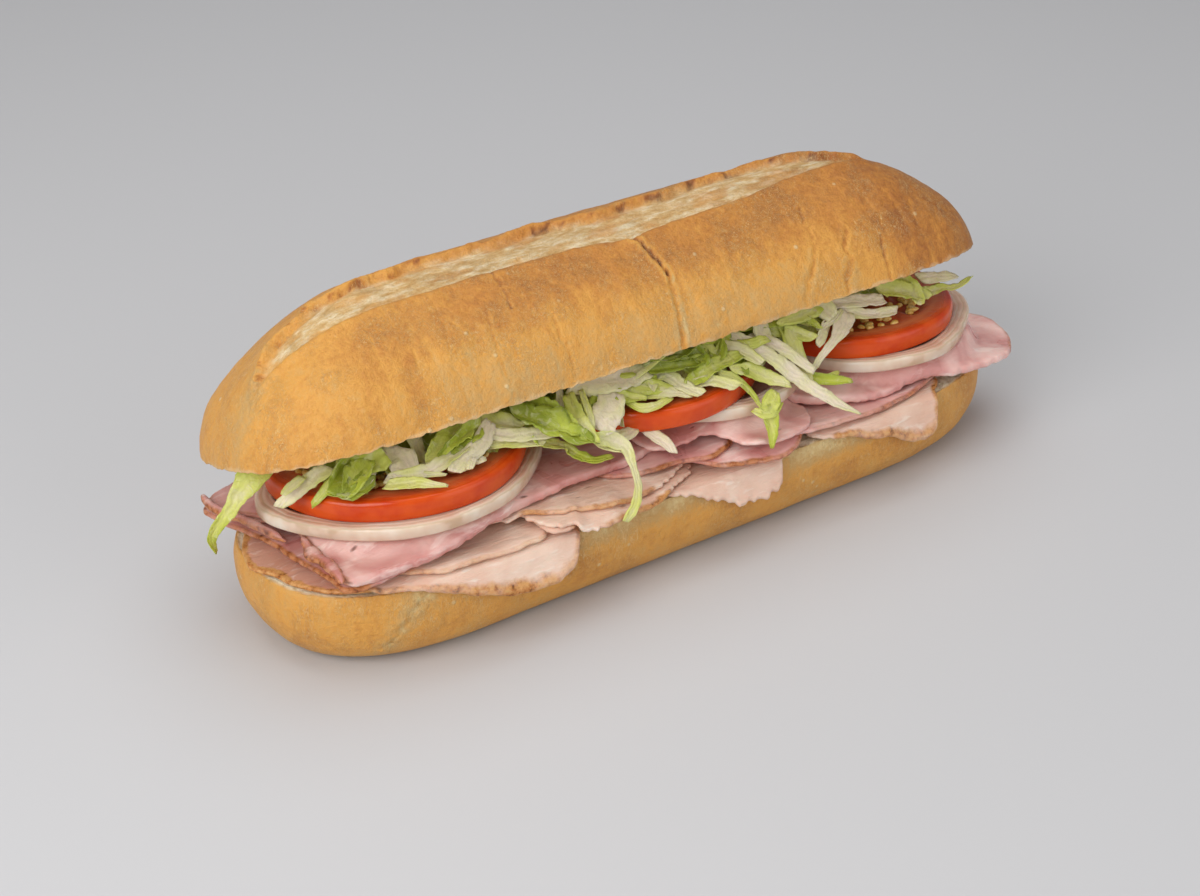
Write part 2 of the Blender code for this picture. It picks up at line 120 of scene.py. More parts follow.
for name, spot, size, power in (
    ("soft_key", (-720, -260, 520), 0.75, 5.6),
    ("soft_overhead", (60, 120, 950), 1.1, 4.3),
    ("soft_fill", (330, -780, 300), 0.9, 2.3),
):
    lamp_data = bpy.data.lights.new(name, "AREA")
    lamp_data.shape = "DISK"
    lamp_data.size = size
    lamp_data.energy = power
    lamp = new_object(name, lamp_data)
    lamp.location = in_place(spot)
    towards = Vector(in_place((0, 0, 30))) - lamp.location
    lamp.rotation_euler = towards.to_track_quat("-Z", "Y").to_euler()

world = bpy.data.worlds.new("pale_room")
world.use_nodes = True
feed(world.node_tree.nodes["Background"], {"Color": linear("#e9ebee"), "Strength": 0.30})
bpy.context.scene.world = world
bpy.context.scene.view_settings.view_transform = "Standard"

camera_data = bpy.data.cameras.new("camera")
camera_data.sensor_width = 36.0
camera_data.lens = 66.0
camera = new_object("camera", camera_data)
aim = Vector(in_place((-21.4, -16.5, 33.2)))
azimuth, elevation, distance = np.radians(-34.4), np.radians(31.8), 0.57475
back = Vector((np.sin(azimuth) * np.cos(elevation), -np.cos(azimuth) * np.cos(elevation),
               np.sin(elevation)))
camera.location = aim + distance * back
camera.rotation_euler = back.to_track_quat("Z", "Y").to_euler()
bpy.context.scene.camera = camera

# The heel of the roll: the lower half of a soft white sub roll, baked on a flat tray and split
# lengthwise with a bread knife. Its crust is thin and golden, and the cut shows a cream crumb.

# How far its ends reach past the straight sides, and the power of their curve: 2 is an ellipse.
HEEL = {"length": 231.0, "width": 70.5, "reach": 52.5, "power": 2.5}
HEEL_FRONT_HEIGHT = 23.6
HEEL_CUT_FALL = 0.036  # the knife ran down towards the back, in millimetres for each one
HEEL_BELLY = 0.67  # the widest level, as a share of the height
HEEL_TUCK = 10.9  # how far the flat base lies inside the widest outline
RIM_ROUND = 1.0  # how far the rim draws in at the cut


def loaf_plan(loaf, spacing):
    """Points round a loaf: where its end arc is centred, and each one's share of reach and width."""
    straight = loaf["length"] / 2 - loaf["reach"]
    turn = np.linspace(0, np.pi / 2, 2001)
    across = np.sin(turn) ** (2 / loaf["power"])
    along = np.clip(np.cos(turn), 0, 1) ** (2 / loaf["power"])
    steps = np.hypot(np.diff(along * loaf["reach"]), np.diff(across * loaf["width"] / 2))
    run = np.concatenate([[0], np.cumsum(steps)])
    level = np.linspace(0, run[-1], int(run[-1] / spacing) + 1)
    along, across = np.interp(level, run, along), np.interp(level, run, across)
    side = np.linspace(straight, -straight, int(2 * straight / spacing) + 1)[1:-1]
    upper = np.concatenate([
        np.stack([np.full(len(along), straight), along, across], 1),
        np.stack([side, np.zeros(len(side)), np.ones(len(side))], 1),
        np.stack([np.full(len(along), -straight), -along, across], 1)[::-1],
    ])
    return np.concatenate([upper, (upper * [1, 1, -1])[::-1][1:-1]])


def loaf_ring(plan, reach, half_width):
    """One level of the loaf, in plan."""
    return np.stack([plan[:, 0] + reach * plan[:, 1], half_width * plan[:, 2]], 1)


def loft(rings):
    """A closed surface through rings of equal counts, each end bridged from side to side."""
    count = len(rings[0])
    here = np.arange(count)
    beside = (here + 1) % count
    faces = []
    for k in range(len(rings) - 1):
        low, high = k * count, (k + 1) * count
        faces += np.stack([low + here, low + beside, high + beside, high + here], 1).tolist()
    for start, turned in ((0, True), ((len(rings) - 1) * count, False)):
        for j in range(count // 2):
            face = list(dict.fromkeys((j, j + 1, (count - j - 1) % count, (count - j) % count)))
            face = [start + v for v in face]
            faces.append(face[::-1] if turned else face)
    return np.concatenate(rings), faces


def lumps(points, size, shift, octaves=3):
    """Smooth noise over the points, from about -1 to 1, with features of about that size."""
    return np.array([
        noise.fractal(Vector(p), 1.0, 2.0, octaves) for p in np.asarray(points) / size + shift
    ])


def normals_of(points, faces):
    """The outward direction at each point of a surface."""
    mesh = new_mesh("measure", points, faces)
    found = np.empty(len(points) * 3, np.float32)
    mesh.vertex_normals.foreach_get("vector", found)
    bpy.data.meshes.remove(mesh)
    return found.reshape(-1, 3).astype(float)


def smooth_step(low, high, value):
    """Rises smoothly from 0 at low to 1 at high."""
    share = np.clip((value - low) / (high - low), 0, 1)
    return share * share * (3 - 2 * share)


def new_piece(name, points, faces, material, slot, nodes, **attributes):
    """A finished piece from points in millimetres, with values for its material to read."""
    mesh = new_mesh(name, in_place(points), faces, **attributes)
    mesh.materials.append(material)
    mesh.shade_smooth()
    return fix(new_object(name, mesh), nodes)


def fix(made, nodes):
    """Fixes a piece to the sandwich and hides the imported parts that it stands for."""
    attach(made, "root")
    if nodes:
        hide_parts(*nodes)
    return made


def heel_top(x, y):
    """Height of the heel's cut face."""
    return HEEL_FRONT_HEIGHT - HEEL_CUT_FALL * (y + HEEL["width"] / 2)


def near_path(x, y, path):
    """Distance of each point from a broken line."""
    path = np.array(path, float)
    found = np.full(len(x), 1e9)
    for a, b in zip(path[:-1], path[1:]):
        step = b - a
        share = np.clip(((x - a[0]) * step[0] + (y - a[1]) * step[1]) / (step @ step), 0, 1)
        found = np.minimum(found, np.hypot(x - a[0] - share * step[0], y - a[1] - share * step[1]))
    return found


plan = loaf_plan(HEEL, 0.85)
rings, inward = [], []
for share in np.concatenate([np.linspace(0, 0.3, 16), np.linspace(0.3, 0.96, 24)[1:],
                             [0.975, 0.99, 1.0]]):
    if share < HEEL_BELLY:
        inset = HEEL_TUCK * (1 - np.sqrt(1 - (1 - share / HEEL_BELLY) ** 2))
    else:
        inset = RIM_ROUND * ((share - HEEL_BELLY) / (1 - HEEL_BELLY)) ** 3
    ring = loaf_ring(plan, HEEL["reach"] - inset, HEEL["width"] / 2 - inset)
    rings.append(np.column_stack([ring, share * heel_top(*ring.T)]))
    inward.append(np.zeros(len(ring)))
for inset in np.concatenate([np.arange(1.4, 10, 0.8), np.arange(10, 33, 1.6)]):
    ring = loaf_ring(plan, HEEL["reach"] - inset, HEEL["width"] / 2 - inset)
    rings.append(np.column_stack([ring, heel_top(*ring.T)]))
    inward.append(np.full(len(ring), inset))
points, faces = loft(rings)
inward = np.concatenate(inward)
normals = normals_of(points, faces)
x, y, z = points.T
on_crust = inward == 0
height = z / heel_top(x, y)
wrinkles = lumps(points * [0.35, 0.35, 1.0], 3.2, 11.3, 2) * smooth_step(90, 40, np.abs(x - 5))
swell = (0.55 * lumps(points, 30, 3.1) + 0.20 * lumps(points, 9, 5.7)
         + 0.16 * wrinkles * smooth_step(0.2, 0.5, height))
# A fold near the left end, where the crust tore and shows pale inside, by its length and height.
fold = near_path(x + 0.9 * lumps(points, 2.4, 13.1, 2), z, ((-85, 21), (-88.8, 17), (-91.5, 12.5),
                                                            (-94.5, 7)))
on_front = smooth_step(-12, -20, y)
rough_fold = 0.75 + 0.6 * lumps(points, 2.2, 3.8, 2)
swell += on_front * (0.30 * rough_fold * np.exp(-(((fold - 1.2) / 1.0) ** 2))
                     - 0.45 * rough_fold * np.exp(-((fold / 0.5) ** 2))
                     + 0.30 * lumps(points * [1, 1, 0.6], 1.5, 9.3, 2) * np.exp(-((fold / 3.0) ** 2)))
swell *= smooth_step(0.0, 0.25, height) * on_crust
ragged = 0.35 * lumps(points, 4.0, 21.9) * smooth_step(0.9, 1.0, height) * on_crust
pores = -0.5 * np.clip(lumps(points, 2.6, 8.2, 3), -0.2, 1) * (~on_crust)
points = points + normals * swell[:, None]
points[:, 2] += ragged + pores
# The left end is made paler: painted light, as from the lamp on the left.
painted_left_light = smooth_step(-50, -105, x)
heel_bake = (0.42 - 0.02 * painted_left_light + 0.03 * smooth_step(60, 112, x)
             - 0.30 * smooth_step(0.62, 0.95, height) * smooth_step(95, 55, np.abs(x - 5))
             - 0.18 * smooth_step(0.16, 0.0, height)
             + 0.12 * lumps(points, 14, 1.7) + 0.08 * wrinkles
             - on_front * (0.22 + 0.2 * lumps(points, 2.0, 6.3)) * np.exp(-((fold / 3.0) ** 2)))
heel_crumb = smooth_step(1.0, 2.0, inward + 0.5 * lumps(points, 3, 4.4)) * (~on_crust)


def fill_ramp(node, *stops):
    """Sets a colour ramp's positions and their colours, first to last."""
    ramp = node.color_ramp
    ramp.elements[0].position, ramp.elements[-1].position = stops[0][0], stops[-1][0]
    ramp.elements[0].color, ramp.elements[-1].color = linear(stops[0][1]), linear(stops[-1][1])
    for position, code in stops[1:-1]:
        ramp.elements.new(position).color = linear(code)


def readings(tree, *labels):
    """The place of each point, then the values that the piece keeps under these labels."""
    return add(tree, "ShaderNodeTexCoord").outputs["Object"], *(
        add(tree, "ShaderNodeAttribute", attribute_name=label).outputs["Fac"] for label in labels)


def crust_material(name):
    """Baked wheat crust over a cream crumb, told apart by the loaf's own attributes."""
    made, tree, shader = new_material(name)
    place, bake, score, crumb = readings(tree, "bake", "score", "crumb")
    # Patches about 12 mm across, then the fine 1.5 mm mottling of a steamed crust.
    patches = add(tree, "ShaderNodeTexNoise", {"Vector": place, "Scale": 85.0, "Detail": 5.0,
                                               "Roughness": 0.62})
    mottle = add(tree, "ShaderNodeTexNoise", {"Vector": place, "Scale": 700.0, "Detail": 4.0,
                                              "Roughness": 0.68})
    runs = add(tree, "ShaderNodeMapping", {"Vector": place, "Scale": (1.0, 1.0, 0.18)})
    streaks = add(tree, "ShaderNodeTexNoise", {"Vector": runs, "Scale": 420.0, "Detail": 3.0})
    spread = -0.09
    for part, share in ((patches, 0.18), (mottle, 0.36), (streaks, 0.26)):
        spread = add(tree, "ShaderNodeMath", {0: part, 1: share, 2: spread}, operation="MULTIPLY_ADD")
    # The loaf's bake value sets how brown the crust is, and also carries painted shade and painted
    # highlights.
    total = add(tree, "ShaderNodeMath", {0: spread, 1: bake}, operation="ADD")
    shade = add(tree, "ShaderNodeMath", {0: total, 1: 0.31}, operation="SUBTRACT")
    colours = add(tree, "ShaderNodeValToRGB", {"Fac": shade})
    fill_ramp(colours, (0.0, "#e2c990"), (0.17, "#cea363"), (0.40, "#dea04a"), (0.60, "#c6843a"),
              (0.80, "#a0602a"), (1.0, "#6f3d19"))
    # Tiny pale blisters, 1 mm across and some 6 mm apart.
    cells = add(tree, "ShaderNodeTexVoronoi", {"Vector": place, "Scale": 170.0})
    blister = add(tree, "ShaderNodeMapRange", {"Value": cells, "From Min": 0.13, "From Max": 0.07})
    chosen = add(tree, "ShaderNodeMapRange", {"Value": cells.outputs["Color"], "From Min": 0.62,
                                              "From Max": 0.66})
    blistered = add(tree, "ShaderNodeMath", {0: blister, 1: chosen}, operation="MULTIPLY")
    pale = add(tree, "ShaderNodeMath", {0: blistered, 1: 0.55}, operation="MULTIPLY")
    crust = add(tree, "ShaderNodeMix", {"Factor": pale, "A": colours, "B": linear("#ecd3a0")},
                data_type="RGBA")
    # Fine pale crackle, where the skin of the crust crazed as it cooled: bits of a net of
    # 3 mm cells, drawn out from top to bottom.
    bent = add(tree, "ShaderNodeMix", {"Factor": 0.012, "A": place, "B": streaks.outputs["Color"]},
               data_type="RGBA", blend_type="LINEAR_LIGHT")
    tall = add(tree, "ShaderNodeMapping", {"Vector": bent, "Scale": (1.0, 1.0, 0.40)})
    net = add(tree, "ShaderNodeTexVoronoi", {"Vector": tall, "Scale": 380.0}, feature="DISTANCE_TO_EDGE")
    thread = add(tree, "ShaderNodeMapRange", {"Value": net, "From Min": 0.07, "From Max": 0.02})
    crazed = add(tree, "ShaderNodeMapRange", {"Value": patches, "From Min": 0.45, "From Max": 0.60,
                                              "To Max": 0.55})
    threads = add(tree, "ShaderNodeMath", {0: thread, 1: crazed}, operation="MULTIPLY")
    crackled = add(tree, "ShaderNodeMix", {"Factor": threads, "A": crust, "B": linear("#edcb90")},
                   data_type="RGBA")
    # The torn band of the score: floury fibres that run along the loaf.
    along = add(tree, "ShaderNodeMapping", {"Vector": place, "Scale": (0.38, 1.0, 1.0)})
    fibres = add(tree, "ShaderNodeTexNoise", {"Vector": along, "Scale": 480.0, "Detail": 5.0,
                                              "Roughness": 0.7})
    band = add(tree, "ShaderNodeValToRGB", {"Fac": fibres})
    fill_ramp(band, (0.34, "#c39a60"), (0.48, "#d8b985"), (0.64, "#efdfba"))
    floury = add(tree, "ShaderNodeMath", {0: score, 1: 0.85}, operation="MULTIPLY")
    banded = add(tree, "ShaderNodeMix", {"Factor": floury, "A": crackled, "B": band}, data_type="RGBA")
    # The crumb: cream, with 1 to 3 mm pores that lie in shade.
    holes = add(tree, "ShaderNodeTexVoronoi", {"Vector": place, "Scale": 520.0})
    inside = add(tree, "ShaderNodeValToRGB", {"Fac": holes})
    fill_ramp(inside, (0.05, "#d3b98a"), (0.42, "#efe2c4"))
    final = add(tree, "ShaderNodeMix", {"Factor": crumb, "A": banded, "B": inside}, data_type="RGBA")
    # Height of the fine relief, in metres: blisters, grain, crackle, then fibres and pores.
    rough_part = add(tree, "ShaderNodeMath", {0: score, 1: crumb}, operation="MAXIMUM")
    torn = add(tree, "ShaderNodeMath", {0: fibres, 1: rough_part}, operation="MULTIPLY")
    relief = 0.0
    for part, height in ((blistered, 0.00025), (mottle, 0.0008), (threads, 0.0003), (torn, 0.0007)):
        relief = add(tree, "ShaderNodeMath", {0: part, 1: height, 2: relief}, operation="MULTIPLY_ADD")
    bump = add(tree, "ShaderNodeBump", {"Height": relief, "Strength": 0.8, "Distance": 1.0})
    dull = add(tree, "ShaderNodeMapRange", {"Value": rough_part, "To Min": 0.46, "To Max": 0.85})
    feed(shader, {"Base Color": final, "Normal": bump, "Roughness": dull, "IOR": 1.42,
                  "Subsurface Weight": 0.08, "Subsurface Scale": 0.004,
                  "Subsurface Radius": (1.0, 0.6, 0.3)})
    return made


# Baked wheat crust: matt to silky, golden where it browned and tan where it stayed pale.
crust = crust_material("golden_wheat_crust")
new_piece("heel_of_roll", points, faces, crust, "crust", ["roll_heel"],
          bake=heel_bake, crumb=heel_crumb, score=np.zeros(len(points)))

# The sliced turkey: thin slices of roast breast, laid on the bread one over another. The meat is
# pale and fibrous, its roasted rind is tan with burnt specks, and cut ends are torn.

GRID_STEP = 1.25
SLICE_GAP = 0.06
SHEET_SPACING = 1.45  # between the points inside a slice
RIM_BULGE = 0.42  # how far a slice's rounded rim stands out, as a share of its thickness
GRID_X, GRID_Y = np.arange(-128, 128.1, GRID_STEP), np.arange(-52, 46.1, GRID_STEP)
grid_x, grid_y = np.meshgrid(GRID_X, GRID_Y, indexing="ij")
GRID_NODES = np.stack([grid_x.ravel(), grid_y.ravel()], 1)


def curve_span(a, b, c, d, t):
    """A Catmull-Rom curve's points from b to c, at each share t of the way."""
    return 0.5 * (2 * b + (c - a) * t + (2 * a - 5 * b + 4 * c - d) * t**2
                  + (3 * b - a - 3 * c + d) * t**3)


def smooth_closed(points, per_span):
    """A smooth closed line through the points."""
    points = np.array(points, float)
    t = (np.arange(per_span) / per_span)[:, None, None]
    curve = curve_span(*(np.roll(points, turn, 0) for turn in (1, 0, -1, -2)), t)
    return curve.transpose(1, 0, 2).reshape(-1, 2)


def outward(ring):
    """The outward direction at each point of a counter-clockwise outline."""
    along = np.roll(ring, -1, 0) - np.roll(ring, 1, 0)
    along /= np.maximum(np.linalg.norm(along, axis=1), 1e-9)[:, None]
    return np.column_stack([along[:, 1], -along[:, 0]])


def encloses(ring, points):
    """Which of the points lie inside an outline."""
    found = np.zeros(len(points), bool)
    for (x0, y0), (x1, y1) in zip(ring, np.roll(ring, -1, 0)):
        crosses = (y0 > points[:, 1]) != (y1 > points[:, 1])
        rise = y1 - y0 if y1 != y0 else 1.0
        found ^= crosses & (points[:, 0] < x0 + (points[:, 1] - y0) * (x1 - x0) / rise)
    return found


def packed_box(node):
    """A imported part's lowest and highest corners, in millimetres."""
    return ((np.array(corner) - origin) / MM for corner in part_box(node))


def packed_underside(node):
    """Height of a packed slice's underside over the grid, smoothed and carried past its edge."""
    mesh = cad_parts[node].data
    tree = BVHTree.FromPolygons([(np.array(v.co) - origin) / MM for v in mesh.vertices],
                                [tuple(p.vertices) for p in mesh.polygons])
    low, high = packed_box(node)
    found = np.full(grid_x.shape, np.nan)
    for i in range(*np.searchsorted(GRID_X, (low[0], high[0]))):
        for j in range(*np.searchsorted(GRID_Y, (low[1], high[1]))):
            hit = tree.ray_cast(Vector((GRID_X[i], GRID_Y[j], -20.0)), Vector((0, 0, 1)))[0]
            if hit:
                found[i, j] = hit.z
    share_x = np.exp(-0.5 * ((GRID_X[:, None] - GRID_X) / 3.6) ** 2)
    share_y = np.exp(-0.5 * ((GRID_Y[:, None] - GRID_Y) / 1.2) ** 2)
    known = np.isfinite(found)
    summed = share_x @ np.where(known, found, 0) @ share_y
    weight = share_x @ known.astype(float) @ share_y
    far = weight < 1e-3
    found = np.where(far, np.nan, summed / np.maximum(weight, 1e-3))
    while np.isnan(found).any():
        padded = np.pad(found, 1, constant_values=np.nan)
        beside = np.stack([padded[:-2, 1:-1], padded[2:, 1:-1], padded[1:-1, :-2],
                           padded[1:-1, 2:]])
        count = np.isfinite(beside).sum(0)
        mean = np.nansum(beside, 0) / np.maximum(count, 1)
        found = np.where(np.isnan(found) & (count > 0), mean, found)
    return found


BED_FALL = 0.12  # rings and tomatoes lie on a bed that falls towards the back
RING_INSET = 0.5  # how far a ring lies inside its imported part's box at the back


def bed_of(node, inset):
    """Height, at the middle of the roll, of the sloping plane that a packed slice stands on."""
    low, high = packed_box(node)
    return low[2] + BED_FALL * (high[1] - inset)


def swell_under(node, base, thickness):
    """The height field raised inside a ring's outline until a slice on it meets the ring."""
    low, high = packed_box(node)
    middle, half = (low + high) / 2, (high - low) / 2
    from_middle = np.hypot((grid_x - middle[0]) / half[0], (grid_y - middle[1]) / half[1])
    wanted = bed_of(node, RING_INSET) - BED_FALL * grid_y - 0.35 - thickness
    return base + smooth_step(1.0, 0.84, from_middle) * np.clip(wanted - base, 0, None)


def at(field, x, y):
    """A height field read between the nodes of the grid."""
    i = np.clip(((x - GRID_X[0]) / GRID_STEP).astype(int), 0, len(GRID_X) - 2)
    j = np.clip(((y - GRID_Y[0]) / GRID_STEP).astype(int), 0, len(GRID_Y) - 2)
    u, v = (x - GRID_X[i]) / GRID_STEP, (y - GRID_Y[j]) / GRID_STEP
    return ((1 - u) * (1 - v) * field[i, j] + u * (1 - v) * field[i + 1, j]
            + (1 - u) * v * field[i, j + 1] + u * v * field[i + 1, j + 1])


def nearest(points, ring):
    """Distance of each point from an outline, and which of its points is nearest."""
    far = np.linalg.norm(points[:, None] - ring[None], axis=2)
    return far.min(1), far.argmin(1)


def run_along(line):
    """The length of a line up to each of its points."""
    return np.concatenate([[0], np.cumsum(np.linalg.norm(np.diff(line, axis=0), axis=1))])


def even_spacing(ring, spacing, *along):
    """The outline at even spacing, with any values that go along it."""
    closed = np.concatenate([ring, ring[:1]])
    run = run_along(closed)
    at_run = np.linspace(0, run[-1], int(run[-1] / spacing), endpoint=False)
    columns = [np.interp(at_run, run, column) for column in closed.T]
    values = [np.interp(at_run, run, np.append(value, value[0])) for value in along]
    return np.stack(columns, 1), *values


rim = loaf_ring(loaf_plan(HEEL, 2.0), HEEL["reach"], HEEL["width"] / 2)
on_heel = encloses(rim, GRID_NODES).reshape(grid_x.shape)
# What has been laid so far, as its height over the grid: at first the heel, with nothing past it.
pile = np.where(on_heel, heel_top(grid_x, grid_y), -50.0)
past_heel, _ = nearest(GRID_NODES, rim)
past_heel = np.where(on_heel, 0.0, past_heel.reshape(grid_x.shape))


def lay_slice(node, seed, thickness, leaves, rind, torn, lift, points, drape=0.0, bears=None):
    """One slice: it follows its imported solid, keeps clear of what lies below and joins the pile.

    rind is the first and last outline point that it runs between, and its strength. torn is how
    far the other edges stray, lift how far the edge curls up, drape how steeply it hangs where
    it reaches past the heel, and bears the ring that rests on it.
    """
    global pile
    per_span = 12
    ring = smooth_closed(points, per_span)
    place = np.arange(len(ring)) / per_span
    first, last, strength = rind
    behind = (place - first) % len(points)
    span = last - first
    has_rind = strength * smooth_step(0, 0.35, behind) * smooth_step(span, span - 0.35, behind)
    ring, has_rind = even_spacing(ring, 0.55, has_rind)
    flat = np.column_stack([ring, np.full(len(ring), seed * 7.3)])
    has_rind *= 0.85 + 0.35 * lumps(flat, 12, 6.6, 2)
    stray = 0.5 * lumps(flat, 9, 1.1, 2) + (0.12 + 1.3 * torn * (1 - has_rind)) * lumps(
        flat, 2.0, 5.2, 3)
    ring = ring + outward(ring) * stray[:, None]
    ring, has_rind = even_spacing(ring, 0.7, has_rind)
    base = packed_underside(node)
    edge_far, _ = nearest(GRID_NODES, ring)
    edge_far = edge_far.reshape(grid_x.shape)
    within = encloses(ring, GRID_NODES).reshape(grid_x.shape) | (edge_far < 1.3)
    field = np.column_stack([GRID_NODES, np.full(len(GRID_NODES), seed * 3.7)])
    ripple = lumps(field, 13, 2.2, 2).reshape(grid_x.shape)
    flutter = lumps(field * [1, 0.4, 1], 8, 6.4, 2).reshape(grid_x.shape)
    base = base + 0.30 * ripple + lift * np.clip(flutter + 0.25, 0, 1.2) * np.exp(-edge_far / 4.0)
    base = base - drape * np.clip(past_heel - 0.6, 0, None)
    if bears:
        base = swell_under(bears, base, thickness)
    low = np.maximum(base, pile + SLICE_GAP)
    slope = np.hypot(*np.gradient(low, GRID_X, GRID_Y))
    high = low + thickness * np.sqrt(1 + np.minimum(slope, 1.8) ** 2)
    pile = np.where(within, np.maximum(pile, high), pile)
    return slice_mesh(ring, has_rind, low, high, thickness, leaves)


def fill_outline(outline, box, spacing, stagger, clear):
    """Triangles inside an outline, over points set in rows across its box and clear of its edge."""
    (x0, y0), (x1, y1) = box
    fill = np.stack(np.meshgrid(np.arange(x0, x1, spacing), np.arange(y0, y1, spacing)), -1)
    fill[1::2, :, 0] += stagger
    fill = fill.reshape(-1, 2)
    fill = fill[encloses(outline, fill) & (nearest(fill, outline)[0] > clear)]
    verts, _, faces, *_ = delaunay_2d_cdt(
        [Vector(p) for p in np.concatenate([outline, fill])], [],
        [list(range(len(outline)))], 1, 1e-6)
    return np.array([tuple(v) for v in verts]), faces


def border_of(faces):
    """The edges that one face alone uses, each in that face's direction."""
    used = {}
    for face in faces:
        for a, b in zip(face, face[1:] + face[:1]):
            if used.pop((b, a), None) is None:
                used[(a, b)] = True
    return list(used)


def slice_mesh(ring, has_rind, low, high, thickness, leaves):
    """A closed thin sheet between two height fields, its rim rounded, or grooved where folded."""
    bulge = RIM_BULGE * thickness / leaves
    verts, faces = fill_outline(ring - outward(ring) * bulge, (ring.min(0), ring.max(0)),
                                SHEET_SPACING, SHEET_SPACING / 2, 0.9)
    count = len(verts)
    border = border_of(faces)
    far, which = nearest(verts, ring)
    rind_here = has_rind[which]
    zl, zh = at(low, *verts.T), at(high, *verts.T)
    shell = [np.column_stack([verts, zl]), np.column_stack([verts, zh])]
    edge = [np.maximum(far - bulge, 0)] * 2
    rind = [rind_here] * 2
    all_faces = [tuple(reversed(f)) for f in faces] + [tuple(v + count for v in f) for f in faces]
    rim_index = {v: k for k, v in enumerate(sorted({a for a, _ in border}))}
    order = list(rim_index)
    after = dict(border)
    before = {b: a for a, b in border}
    along = np.array([verts[after[v]] - verts[before[v]] for v in order])
    along /= np.maximum(np.linalg.norm(along, axis=1), 1e-9)[:, None]
    out = np.column_stack([along[:, 1], -along[:, 0]])
    total = 2 * count
    layers = [np.array(order)]
    # The rim's levels: each one's share of the thickness, and of the bulge.
    for level, reach in ((0.12, 0.55), (0.32, 0.95), (0.5, 1.0), (0.68, 0.95), (0.88, 0.55)):
        if leaves == 2 and level == 0.5:
            reach = np.where(has_rind[which[order]] > 0.1, -0.9, 1.0)
        spot = verts[order] + out * (bulge * reach * np.ones(len(order)))[:, None]
        shell.append(np.column_stack([spot, zl[order] + level * (zh - zl)[order]]))
        edge.append(np.zeros(len(order)))
        rind.append(rind_here[order])
        layers.append(total + np.arange(len(order)))
        total += len(order)
    layers.append(np.array(order) + count)
    for lower, upper in zip(layers[:-1], layers[1:]):
        for a, b in border:
            a, b = rim_index[a], rim_index[b]
            all_faces.append((int(lower[a]), int(lower[b]), int(upper[b]), int(upper[a])))
    return np.concatenate(shell), all_faces, {"edge": np.concatenate(edge),
                                              "rind": np.concatenate(rind)}


